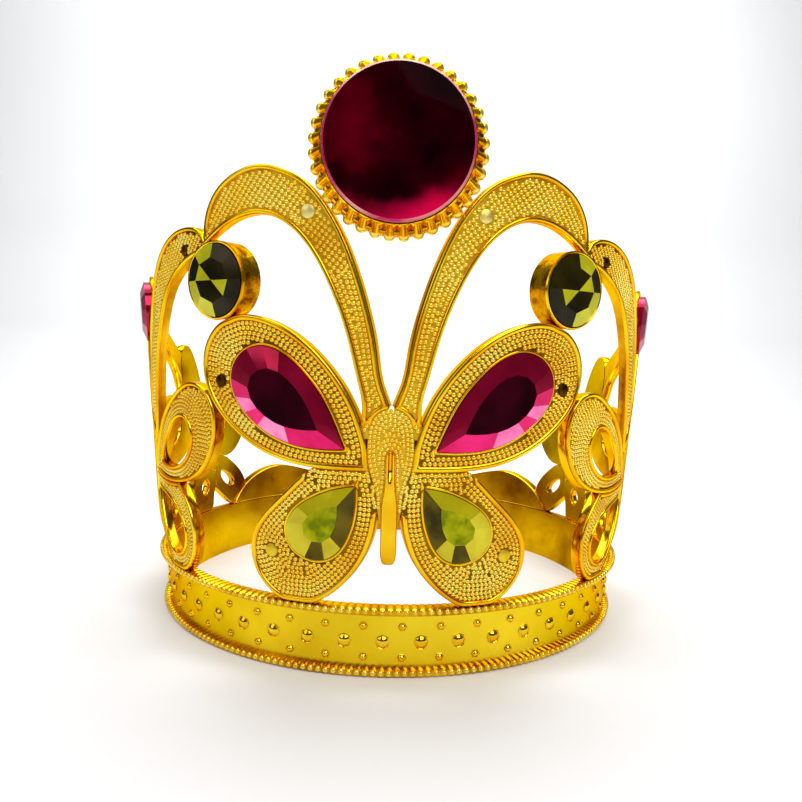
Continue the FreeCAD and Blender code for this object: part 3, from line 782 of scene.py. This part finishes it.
def both_sides(shape, name, materials, slot):
    """A piece of the right half and its mirror image on the left."""
    shape.piece(f"{name}_right_piece", materials, slot, f"{name}_right")
    shape.piece(f"{name}_left_piece", materials, slot, f"{name}_left", mirror=True)


def spot_of(angle, height):
    return math.radians(angle) * DEVELOPED, height


SIDE_HOLED = dict(edge=1.2, hole_edge=1.15, pitch=1.12, through=True, rows_from_hole=True)
LOWER_HOLED = dict(edge=1.1, hole_edge=1.0, pitch=1.1, through=True, rows_from_hole=True)
LEAF = dict(edge=1.0, hole_edge=0.9, pitch=1.1, through=True)


LOOP_FOOT_TOP = 63.5
TAIL_SIDE = 4.6
TAIL_SIDE_FOOT = 41
LOWER_WING_SHOULDER = 50


def loop_foot(spots):
    return spots[:, 1] < LOOP_FOOT_TOP


def beside_the_tail(spots):
    beside = (np.abs(spots[:, 0]) < TAIL_SIDE) & (spots[:, 1] > TAIL_SIDE_FOOT)
    return beside | (spots[:, 1] > LOWER_WING_SHOULDER)


shape = Shape()
# The body gets the lighter field: painted light.
moulding(shape, "front_body", field=-0.6, pitch=1.16, flat_where=everywhere)
shape.piece("front_body_piece", LIGHT_FINISHES, "gold", "front_body")


def finishes_of(name):
    """The finishes of a paired moulding: edge, field, beads, walls, back and discs."""
    # The loops get the lighter field, painted light, and a disc with a painted highlight; the lower wings a
    # dull gold disc; the others a disc with a painted dark reflection.
    if name == "front_loop":
        return [*LIGHT_FINISHES, DISC_PAINTED_HIGHLIGHT]
    return [*MOULDING_FINISHES, DULL_DISC if name == "front_lower_wing" else DISC_PAINTED_DARK_REFLECTION]


OUTLINES = {}
for name, values in {
    "front_wing": dict(edge=1.5, pitch=1.3, discs=[(*spot_of(32.9, 71.8), 1.6)]),
    "front_lower_wing": dict(
        edge=1.4, pitch=1.22, discs=[(*spot_of(22.3, 30.3), 1.75)], flat_where=beside_the_tail
    ),
    "front_loop": dict(
        edge=1.2, pitch=1.24, ladder_below=97.0, discs=[(*spot_of(14.4, 111.6), 1.7)], flat_where=loop_foot
    ),
    "side_body": dict(edge=0.8, pitch=1.2),
    "side_front_wing": SIDE_HOLED,
    "side_rear_wing": SIDE_HOLED,
    "side_front_lower_wing": LOWER_HOLED,
    "side_rear_lower_wing": LOWER_HOLED,
    "side_front_loop": dict(edge=1.05, pitch=1.15, ladder_below=92.0, discs=[(*spot_of(41.5, 104.6), 1.3)]),
    "rear_body": dict(edge=0.8, pitch=1.1),
    "rear_front_wing": dict(edge=1.2, pitch=1.2),
    "rear_back_wing": dict(edge=1.2, pitch=1.2),
    "rear_front_leaf": LEAF,
    "rear_back_leaf": LEAF,
    "side_rear_loop": dict(edge=1.05, pitch=1.15),
}.items():
    shape = Shape()
    OUTLINES[name] = moulding(shape, f"{name}_right", **values)
    both_sides(shape, name, finishes_of(name), "gold")

shape = Shape()
moulding(shape, "back_crest", edge=1.6, pitch=1.3, back=BAND_BACK_OUT, radial=True)
shape.piece("back_crest_piece", MOULDING_FINISHES, "gold", "back_crest")

TAIL_PROUD = 1.3
TAIL_END_ROUND = 0.7
TAIL_SLOT_FOOT = 49.5
TAIL_SLOT_RAMP = 2.5
TAIL_SLOT_HALF = 0.5
TAIL_SLOT_SLOPE = 1.6
TAIL_SLOT_DEPTH = 1.5


def tail():
    """The smooth bar in front of the body, round across, with a slot down the middle of its top."""
    loop = outlines_of("front_tail", TAIL_PROUD)[0]
    side = loop[loop[:, 0] > 0]
    side = side[np.argsort(side[:, 1])]
    rows, columns = 72, 21
    share = (1 - np.cos(np.linspace(0, math.pi, rows))) / 2
    heights = side[0, 1] + 0.03 + (side[-1, 1] - side[0, 1] - 0.06) * share
    half = np.interp(heights, side[:, 1], side[:, 0])
    across = np.sin(np.linspace(-math.pi / 2, math.pi / 2, columns))
    u = half[:, None] * across[None]
    rounded = (1 - np.abs(across) ** 4) ** (1 / 4)
    near_end = np.clip(np.minimum(heights - heights[0], heights[-1] - heights) / TAIL_END_ROUND, 0, 1)
    top = (TAIL_PROUD - FIELD_OUT) * (1 - (1 - near_end[:, None]) ** 2 * 0.6)
    slot = np.clip((heights - TAIL_SLOT_FOOT) / TAIL_SLOT_RAMP, 0, 1)[:, None]
    slope = TAIL_SLOT_SLOPE - np.abs(u) / TAIL_SLOT_HALF * TAIL_SLOT_SLOPE
    groove = slot * np.clip(slope, 0, 1) * TAIL_SLOT_DEPTH
    out = FIELD_OUT + rounded[None] * top - np.minimum(groove, rounded[None] * top * 0.9)
    shape = Shape()
    faces = grid_faces(rows, columns, wrap=False)
    front = on_crown(u, heights[:, None], out).reshape(-1, 3)
    shape.add(front, faces, 0)
    shape.add(on_crown(u, heights[:, None], FIELD_OUT).reshape(-1, 3), turned_over(faces), 1)
    end = [tuple(range(columns))]
    shape.add(front[:columns], turned_over(end), 0, smooth=False)
    shape.add(front[-columns:], end, 0, smooth=False)
    shape.piece("front_tail_piece", [GOLD_WALL_PAINTED_SHADE, GOLD_BACK_PAINTED_SHADE], "gold", "front_tail")


tail()

# -------- band


def rows_of(angles, profile):
    """A row of points round Z for each (radius, height) of a profile, which may vary with the angle."""
    flat = np.zeros_like(angles)
    rows = [np.stack([r * np.cos(angles), r * np.sin(angles), z + flat], -1) for r, z in profile]
    return np.concatenate(rows)


def lathe(shape, profile, segments, finish, origin=(0, 0, 0), axes=np.eye(3)):
    """A profile of (radius, height) turned about Z, or about the third of its own axes."""
    points = rows_of(np.arange(segments) * 2 * math.pi / segments, profile)
    shape.add(points @ axes.T + origin, grid_faces(len(profile), segments), finish)


def cone_radius(base, height):
    return base + FLARE * height


WALL_REACH = 0.3
WALL_SEGMENTS = 360


def band_wall():
    """The smooth wall of the band, which reaches a little into the rims."""
    heights = np.linspace(RIM_HEIGHT - WALL_REACH, BAND_HEIGHT - RIM_HEIGHT + WALL_REACH, 9)
    outside = [(cone_radius(FACE + WALL_OUT, z), z) for z in heights]
    behind = [(cone_radius(FACE + BAND_BACK_OUT, z), z) for z in heights[::-1]]
    ends = [(outside[-1], behind[0]), (behind[-1], outside[0])]
    shape = Shape()
    for profile, finish in ((outside, 0), (behind, 1), (ends[0], 0), (ends[1], 0)):
        lathe(shape, profile, WALL_SEGMENTS, finish)
    shape.piece("band_wall_piece", [GOLD_BAND, GOLD_BACK_PAINTED_SHADE], "gold", "band_wall")


def ball_shape(radius, around, levels):
    """A ball made of rings: (points, faces)."""
    points = [[0, 0, -radius]]
    for level in range(1, levels):
        tilt = math.pi * level / levels
        ring, height = radius * math.sin(tilt), -radius * math.cos(tilt)
        for side in range(around):
            turn = 2 * math.pi * side / around
            points.append([ring * math.cos(turn), ring * math.sin(turn), height])
    points.append([0, 0, radius])
    faces = [(0, 1 + (i + 1) % around, 1 + i) for i in range(around)]
    faces += [tuple(1 + i for i in face) for face in grid_faces(levels - 1, around)]
    last = 1 + (levels - 2) * around
    faces += [(last + i, last + (i + 1) % around, len(points) - 1) for i in range(around)]
    return np.array(points), faces


def rib_wave(angles, count):
    """How far each angle is up one of the round ribs: 0 between ribs, 1 on top."""
    return np.sqrt(np.abs(np.sin(angles * count / 2)))


RIM_BEAD = 0.78
RIM_SAMPLES = 6
RIM_TOP_STEP = 0.42


def rim(name, node, low, outer):
    """A rim of radial ribs, each of which ends in a bead on the outside."""
    high = low + RIM_HEIGHT
    top = high - RIM_TOP_STEP
    count = RIB_COUNT * RIM_SAMPLES
    angles = np.arange(count) * 2 * math.pi / count
    wave = rib_wave(angles, RIB_COUNT)
    inside_low = cone_radius(FACE + BAND_BACK_OUT, low)
    inside_high = cone_radius(FACE + BAND_BACK_OUT, high)
    edge = outer - RIM_BEAD
    profile = [
        (inside_low, low, 0, 0),
        (edge - 0.4, low, 0, 0),
        (edge, low + 0.25, 0.15, 0),
        (edge + 0.1, low + 0.5 * RIM_HEIGHT, 0.3, 0),
        (edge, high - 0.5, 0.25, 0.1),
        (edge - 0.4, top, 0.0, RIM_TOP_STEP),
        (0.5 * (edge + inside_high), top, 0.0, RIM_TOP_STEP),
        (inside_high + 0.4, top, 0.0, RIM_TOP_STEP),
        (inside_high, high - 0.3, 0, 0.2),
    ]
    points = rows_of(angles, [(r + swell * wave, z + lift * wave) for r, z, swell, lift in profile])
    faces = grid_faces(len(profile), count, ring=True)
    shape = Shape()
    # The ribs take the rib finish, which is painted shade.
    shape.add(points, faces[:-count], 0)
    shape.add(points, faces[-count:], 2)
    ball, faces = ball_shape(RIM_BEAD, 10, 7)
    turns = (np.arange(RIB_COUNT) + 0.5) * 2 * math.pi / RIB_COUNT
    centres = rows_of(turns, [(edge, high - RIM_BEAD - 0.2)])
    shape.copies(centres[:, None, :] + ball[None, :, :], faces, 1)
    shape.piece(name, [GOLD_RIB_PAINTED_SHADE, GOLD_BEAD, GOLD_BACK_PAINTED_SHADE], "gold", node)


band_wall()
rim("lower_rim_piece", "lower_rim", 0.0, LOWER_RIM_RADIUS)
rim("upper_rim_piece", "upper_rim", BAND_HEIGHT - RIM_HEIGHT, UPPER_RIM_RADIUS)

STUD_COUNT = 48
STUD_START = -0.6
STUD_STEP = 360 / STUD_COUNT
STUD_PROUD = 0.8

# Share of the radius, share of the height, and how far a tier is turned, in facets.
STUD_TIERS = [
    (1.0, -0.3, 0),
    (1.0, 0.16, 0),
    (0.94, 0.24, 0),
    (0.88, 0.12, 0),
    (0.85, 0.12, 0.5),
    (0.56, 0.76, 0),
    (0.2, 1.0, 0.5),
]


def studs(name, node, radius, rows, facets):
    """Faceted studs on the band's wall: a round foot with a rim, and a cut dome inside it."""
    points = []
    for share, z, shift in STUD_TIERS:
        for side in range(facets):
            turn = 2 * math.pi * (side + shift) / facets
            high = z * STUD_PROUD if z > 0 else z
            points.append([radius * share * math.cos(turn), radius * share * math.sin(turn), high])
    points = np.array(points)
    faces = []
    for tier, (lower, upper) in enumerate(zip(STUD_TIERS, STUD_TIERS[1:])):
        a, b = tier * facets, (tier + 1) * facets
        for side in range(facets):
            after = (side + 1) % facets
            if lower[2] == upper[2]:
                faces.append((a + side, a + after, b + after, b + side))
            elif upper[2]:
                faces += [(a + side, a + after, b + side), (b + side, a + after, b + after)]
            else:
                faces += [(a + side, b + after, b + side), (a + side, a + after, b + after)]
    faces.append(tuple((len(STUD_TIERS) - 1) * facets + side for side in range(facets)))
    faces.append(tuple(reversed(range(facets))))
    shape = Shape()
    spots = np.array([
        (math.radians(start + number * STUD_STEP) * DEVELOPED, height)
        for height, start in rows
        for number in range(STUD_COUNT)
    ])
    shape.copies(standing_at(spots, WALL_OUT, points), faces, 0, smooth=False)
    shape.piece(name, [GOLD_STUD], "gold", node)


between = STUD_START + STUD_STEP / 2
studs("large_studs_piece", "large_studs", 1.9, [(8.6, STUD_START)], 8)
studs("small_studs_piece", "small_studs", 1.15, [(12.7, between), (4.6, between)], 6)

# -------- gems


def seat_axes(angle, height):
    """(origin, matrix) of the axes square to the crown's face, with z outwards."""
    u = math.radians(angle) * DEVELOPED
    across, up, outwards = axes_at(u)
    return on_crown(u, height, 0.0), np.stack([across, up, outwards], 1)


POINTS_PER_FACET = 4
GIRDLE_INSET = 0.08


def add_crown(shape, girdle, table, finishes):
    """Long facets from a girdle up to each side of the table."""
    for number, finish in enumerate(finishes):
        steps = [(number * POINTS_PER_FACET + k) % len(girdle) for k in range(POINTS_PER_FACET + 1)]
        points = [*girdle[steps], table[(number + 1) % len(table)], table[number]]
        shape.add(points, [tuple(range(len(points)))], finish, smooth=False)


def drop_gem(shape, outline, facets, table_share, root, crown, finish_of, table_finish):
    """A drop-shaped gem in the outline of its pocket: long outer facets round a flat table.

    finish_of(share) names the finish of the facet that lies at that share of the way round."""
    loop = resampled(outline[::-1], 0.5)
    corner = np.argmax(np.hypot(*(loop - loop.mean(0)).T))
    loop = np.roll(loop, -corner, 0)
    closed = np.concatenate([loop, loop[:1]])
    along = lengths_along(closed)
    count = facets * POINTS_PER_FACET
    girdle = points_along(closed, along, np.linspace(0, along[-1], count + 1)[:-1])
    girdle = girdle + inward_normals(girdle) * GIRDLE_INSET
    centre = girdle.mean(0)
    table = centre + (girdle[::POINTS_PER_FACET] - centre) * table_share
    low = on_crown(*girdle.T, root)
    rim_line = on_crown(*girdle.T, 0.0)
    top = on_crown(*table.T, crown)
    shape.add(np.concatenate([low, rim_line]), grid_faces(2, count), 0)
    shape.add(low, turned_over([range(count)]), 0, smooth=False)
    add_crown(shape, rim_line, top, [finish_of((number + 0.5) / facets) for number in range(facets)])
    shape.add(top, [tuple(range(facets))], table_finish, smooth=False)


def red_finish(share):
    """The index of a facet's finish: painted reflections of the floor on the lower side, painted shade on the
    upper one.
    """
    if share < 0.09:
        return 1
    if share < 0.46:
        return 2 if int(share * 22) % 3 else 1
    return 0


# Facets given 1 get painted shade, and the others get painted highlights.
def green_finish(share):
    return 1 if share < 0.27 or 0.36 < share < 0.46 else 0


shape = Shape()
drop_gem(shape, OUTLINES["front_wing"][1], 18, 0.6, -0.9, 1.15, red_finish, 3)
both_sides(shape, "front_wing_gem", [RED_FACETS_PAINTED_SHADE, RED_FACET, RED_FACETS_PAINTED_HIGHLIGHT, RED_TABLE_PAINTED_DARK_REFLECTION], "red_gem")
shape = Shape()
drop_gem(shape, OUTLINES["front_lower_wing"][1], 11, 0.5, -0.9, 1.1, green_finish, 2)
both_sides(shape, "front_lower_gem", [GREEN_FACETS_PAINTED_LIGHT, GREEN_FACETS_PAINTED_SHADE, GREEN_TABLE], "green_gem")


def round_gem(shape, angle, height, radius, root, girdle_top, crown, table_share, facets, finish_of):
    """A round cut gem: a girdle, long crown facets and a table of low facets."""
    origin, axes = seat_axes(angle, height)
    count = facets * POINTS_PER_FACET
    turns = np.arange(count) / count * 2 * math.pi
    circle = np.stack([np.cos(turns), np.sin(turns)], -1) * radius

    def ring(spots, z):
        return np.column_stack([spots, np.full(len(spots), z)]) @ axes.T + origin

    low, high = ring(circle, root), ring(circle, girdle_top)
    shape.add(np.concatenate([low, high]), grid_faces(2, count), 0)
    shape.add(low, turned_over([range(count)]), 0, smooth=False)
    table = ring(circle[::POINTS_PER_FACET] * table_share, crown)
    add_crown(shape, high, table, [finish_of("outer", number) for number in range(facets)])
    middle = origin + axes[:, 2] * (crown + 0.12)
    for number in range(facets):
        points = [table[number], table[(number + 1) % facets], middle]
        shape.add(points, [(0, 1, 2)], finish_of("table", number), smooth=False)


CUP_ANGLE = 32.2
CUP_HEIGHT = 96.4
GEM_RADIUS = 8.8
CUP_RADIUS = 9.6
CUP_BACK = -5.4
ROUND_SEGMENTS = 72
CENTRE = 0.01
# The facets that get painted highlights; all others get painted shade.
OLIVE_FACETS_WITH_PAINTED_HIGHLIGHT = {("outer", 1), ("outer", 7), ("outer", 6), ("table", 0), ("table", 4)}


def olive_finish(kind, number):
    return 1 if (kind, number) in OLIVE_FACETS_WITH_PAINTED_HIGHLIGHT else 0


shape = Shape()
round_gem(shape, CUP_ANGLE, CUP_HEIGHT, GEM_RADIUS, -1.0, 1.2, 2.15, 0.62, 8, olive_finish)
both_sides(shape, "olive_gem", [OLIVE_FACETS_PAINTED_SHADE, OLIVE_FACETS_PAINTED_HIGHLIGHT], "olive_gem")


def olive_cup():
    """A deep cup: a lip round the gem, a plain side wall, a floor under the gem and a back."""
    gem, cup = GEM_RADIUS, CUP_RADIUS
    lip = [(gem + 0.05, 0.6), (gem + 0.1, 0.95), (gem + 0.35, 1.1), (cup - 0.15, 1.0), (cup, 0.6)]
    wall = [
        (cup, 0.6), (cup - 0.1, -1.0), (cup - 0.15, -3.5), (cup - 0.2, CUP_BACK + 0.3), (cup - 0.5, CUP_BACK),
    ]
    floor = [(CENTRE, -1.0), (gem + 0.05, -1.0), (gem + 0.05, 0.6)]
    back = [(cup - 0.5, CUP_BACK), (CENTRE, CUP_BACK)]
    shape = Shape()
    for profile, finish in ((lip, 0), (wall, 1), (floor, 0), (back, 2)):
        lathe(shape, profile[::-1], ROUND_SEGMENTS, finish, *seat_axes(CUP_ANGLE, CUP_HEIGHT))
    both_sides(shape, "olive_cup", [GOLD_EDGE, GOLD_CUP, GOLD_BACK_PAINTED_SHADE], "gold")


olive_cup()

# The side gems stand on a round seat at the top of each side butterfly's body.
SIDE_ANGLE = 68.0
SIDE_GEM_HEIGHT = 90.5
SEAT_RADIUS = 10.4


# The side gem: one facet is the brighter red, a painted highlight; the others are painted shade, and the
# table is a painted dark reflection.
def side_finish(kind, number):
    if kind == "table":
        return 2
    return 1 if number == 2 else 0


shape = Shape()
round_gem(shape, SIDE_ANGLE, SIDE_GEM_HEIGHT, GEM_RADIUS, -1.8, 0.0, 1.1, 0.66, 10, side_finish)
both_sides(shape, "side_gem", [RED_FACETS_PAINTED_SHADE, RED_FACET, RED_TABLE_PAINTED_DARK_REFLECTION], "red_gem")


def side_gem_seat():
    """The disc under a side gem, with a shallow pocket in its front and a rounded edge."""
    gem, seat = GEM_RADIUS, SEAT_RADIUS
    front = [
        (CENTRE, -1.9), (gem + 0.1, -1.9), (gem + 0.25, -1.82), (seat - 0.4, -1.8),
        (seat - 0.1, -1.9), (seat, -2.1), (seat, -2.8), (seat - 0.3, -3.0),
    ]
    back = [(seat - 0.3, -3.0), (CENTRE, -3.0)]
    shape = Shape()
    for finish, profile in enumerate((front, back)):
        lathe(shape, profile[::-1], ROUND_SEGMENTS, finish, *seat_axes(SIDE_ANGLE, SIDE_GEM_HEIGHT))
    both_sides(shape, "side_gem_seat", [GOLD_EDGE, GOLD_BACK_PAINTED_SHADE], "gold")


side_gem_seat()

# -------- crest

BEZEL_HEIGHT = 125.3
CREST_GEM_HEIGHT = 125.4
CREST_GEM_RADIUS = 16.9
CREST_BEZEL_RADIUS = 20.5
CREST_RIBS = 36
CREST_BALL = 1.5
DISC_FRONT = -0.4
DISC_BACK = -4.4
BOSS_TOP_RADIUS = 17.4
BOSS_FOOT_RADIUS = 18.6
BOSS_STAND = 2.6
CREST_SEGMENTS = 96
CREST_SAMPLES = 8
RIB_STEPS = 6
RIB_SIDES = 9


def crest_gem():
    """A low round gem: a flat table, a steep rounded shoulder and a straight girdle."""
    r = CREST_GEM_RADIUS
    shape = Shape()
    table = [(CENTRE, 5.3), (r * 0.5, 5.28), (r - 1.3, 5.1), (r - 0.6, 4.8)]
    rim_line = [(r - 0.6, 4.8), (r - 0.35, 4.6), (r - 0.1, 4.3), (r, 3.7)]
    girdle = [(r, 3.7), (r, 2.0), (r - 0.1, 1.1), (r - 0.5, 1.0), (CENTRE, 1.0)]
    for finish, profile in enumerate((table, rim_line, girdle)):
        lathe(shape, profile, CREST_SEGMENTS, finish, *seat_axes(0.0, CREST_GEM_HEIGHT))
    shape.piece("crest_gem_piece", [CRIMSON, CRIMSON_RIM_PAINTED_LIGHT, CRIMSON_GIRDLE], "crimson_gem", "crest_gem")


def crest_bezel():
    """A ribbed boss round the gem on a scalloped disc, with a bead at the end of each rib."""
    origin, axes = seat_axes(0.0, BEZEL_HEIGHT)
    gem_origin = seat_axes(0.0, CREST_GEM_HEIGHT)[0]
    outside = CREST_BEZEL_RADIUS
    count = CREST_RIBS * CREST_SAMPLES
    angles = np.arange(count) * 2 * math.pi / count
    groove = 1 - rib_wave(angles, CREST_RIBS)
    # Radius, height, and how far the radius changes in the grooves between the ribs.
    gem, top, foot = CREST_GEM_RADIUS, BOSS_TOP_RADIUS, BOSS_FOOT_RADIUS
    boss = [
        (gem - 0.3, 1.2, 0.0), (gem + 0.02, 1.5, 0.0), (gem + 0.04, BOSS_STAND - 0.1, 0.0),
        (top - 0.3, BOSS_STAND, 0.0), (top, BOSS_STAND - 0.2, -0.25), (top + 0.45, 1.2, -0.7),
        (foot - 0.35, 0.0, -0.9), (foot, DISC_FRONT - 0.6, -0.9),
    ]
    disc = [
        (CENTRE, DISC_FRONT - 0.6, 0.0), (foot - 1.0, DISC_FRONT - 0.5, 0.0),
        (outside - 2.1, DISC_FRONT - 0.4, 0.0), (outside - 1.4, DISC_FRONT - 0.9, -0.3),
        (outside - 0.9, DISC_FRONT - 1.6, -0.4), (outside - 0.8, DISC_BACK + 1.2, -0.4),
        (outside - 1.2, DISC_BACK + 0.2, -0.3), (outside - 1.6, DISC_BACK, -0.2), (CENTRE, DISC_BACK, 0.0),
    ]
    shape = Shape()
    for profile, centre, finish in ((boss, gem_origin, 0), (disc, origin, 2)):
        points = rows_of(angles, [(radius + change * groove, z) for radius, z, change in profile])
        shape.add(points @ axes.T + centre, turned_over(grid_faces(len(profile), count)), finish)

    # Round ribs run out over the boss from beside the gem, each to a bead on the disc's edge.
    turns = (np.arange(CREST_RIBS) + 0.5) * 2 * math.pi / CREST_RIBS
    cosines, sines = np.cos(turns)[:, None], np.sin(turns)[:, None]
    arch = np.linspace(-0.1, 1.1, RIB_SIDES) * math.pi
    ribs = []
    for share in np.linspace(0, 1, RIB_STEPS):
        ring = (top - 0.35) * (1 - share) + (outside - 1.3) * share
        z = (BOSS_STAND - 0.9) * (1 - share) + (DISC_FRONT - 1.5) * share
        radius = 0.8 + 0.35 * share
        side, out = radius * np.cos(arch), radius * np.sin(arch)
        lift = (1 - share) * (CREST_GEM_HEIGHT - BEZEL_HEIGHT)
        x = (ring + 0.55 * out) * cosines - side * sines
        y = (ring + 0.55 * out) * sines + side * cosines + lift
        ribs.append(np.stack([x, y, z + 0.8 * out + np.zeros_like(x)], -1))
    ribs = np.stack(ribs, 1).reshape(CREST_RIBS, -1, 3)
    shape.copies(ribs @ axes.T + origin, grid_faces(RIB_STEPS, RIB_SIDES, wrap=False), 0)
    ball, faces = ball_shape(CREST_BALL, 14, 9)
    centres = rows_of(turns, [(outside - CREST_BALL, -1.9)])
    shape.copies((centres[:, None, :] + ball[None, :, :]) @ axes.T + origin, faces, 1)
    shape.piece("crest_bezel_piece", [GOLD_EDGE, GOLD_BEAD, GOLD_WALL_PAINTED_SHADE], "gold", "crest_bezel")


crest_gem()
crest_bezel()

# -------- camera, light and floor


def camera_at(place, yaw, pitch, roll, lens):
    data = bpy.data.cameras.new("camera")
    data.lens = lens
    data.sensor_width = 36
    data.clip_start = 0.01
    camera = in_scene("camera", data)
    forward = np.array([math.sin(yaw) * math.cos(pitch), math.cos(yaw) * math.cos(pitch), -math.sin(pitch)])
    right = np.array([math.cos(yaw), -math.sin(yaw), 0.0])
    up = np.cross(right, forward)
    across = math.cos(roll) * right + math.sin(roll) * up
    upright = -math.sin(roll) * right + math.cos(roll) * up
    matrix = np.eye(4)
    matrix[:3, 0], matrix[:3, 1], matrix[:3, 2], matrix[:3, 3] = across, upright, -forward, place
    camera.matrix_world = Matrix(matrix.tolist())
    bpy.context.scene.camera = camera


camera_at((0.00048, -0.23705, 0.07886), 0.0101, 0.0638, 0.0282, 30.52)


def area_light(name, place, target, size, power):
    data = bpy.data.lights.new(name, "AREA")
    data.size = size
    data.energy = power
    light = in_scene(name, data)
    light.location = place
    light.rotation_mode = "QUATERNION"
    light.rotation_quaternion = (Vector(target) - Vector(place)).to_track_quat("-Z", "Y")


area_light("key", (0.3, -0.7, 0.75), (0, 0, 0.06), 0.7, 5.9)
area_light("fill", (-0.6, -0.45, 0.5), (0, 0, 0.06), 0.6, 1.3)
area_light("top", (0.0, 0.15, 1.0), (0, 0, 0.0), 0.9, 4.5)
area_light("backdrop_wash", (0.0, 0.3, 0.95), (0, 1.05, 0.35), 1.0, 12.0)

world = bpy.data.worlds.new("studio")
bpy.context.scene.world = world
world.use_nodes = True
background = world.node_tree.nodes["Background"]
background.inputs["Color"].default_value = (0.9, 0.92, 0.95, 1)
background.inputs["Strength"].default_value = 0.11

curve = [(-2.0, 0.0), (0.55, 0.0), (0.75, 0.03), (0.92, 0.12), (1.02, 0.3), (1.05, 0.6), (1.05, 1.8)]
points = [(x, y, z) for y, z in curve for x in (-2.5, 2.5)]
mesh = bpy.data.meshes.new("floor")
mesh.from_pydata(points, [], [(2 * i, 2 * i + 1, 2 * i + 3, 2 * i + 2) for i in range(len(curve) - 1)])
mesh.polygons.foreach_set("use_smooth", [True] * len(mesh.polygons))
floor = in_scene("floor", mesh)
mesh.materials.append(
    material_of("floor", [(0.83, 0.835, 0.845), (0.86, 0.865, 0.875)], 0.0, (0.5, 0.65), 3, 0.02)
)

bpy.context.scene.view_settings.view_transform = "Standard"
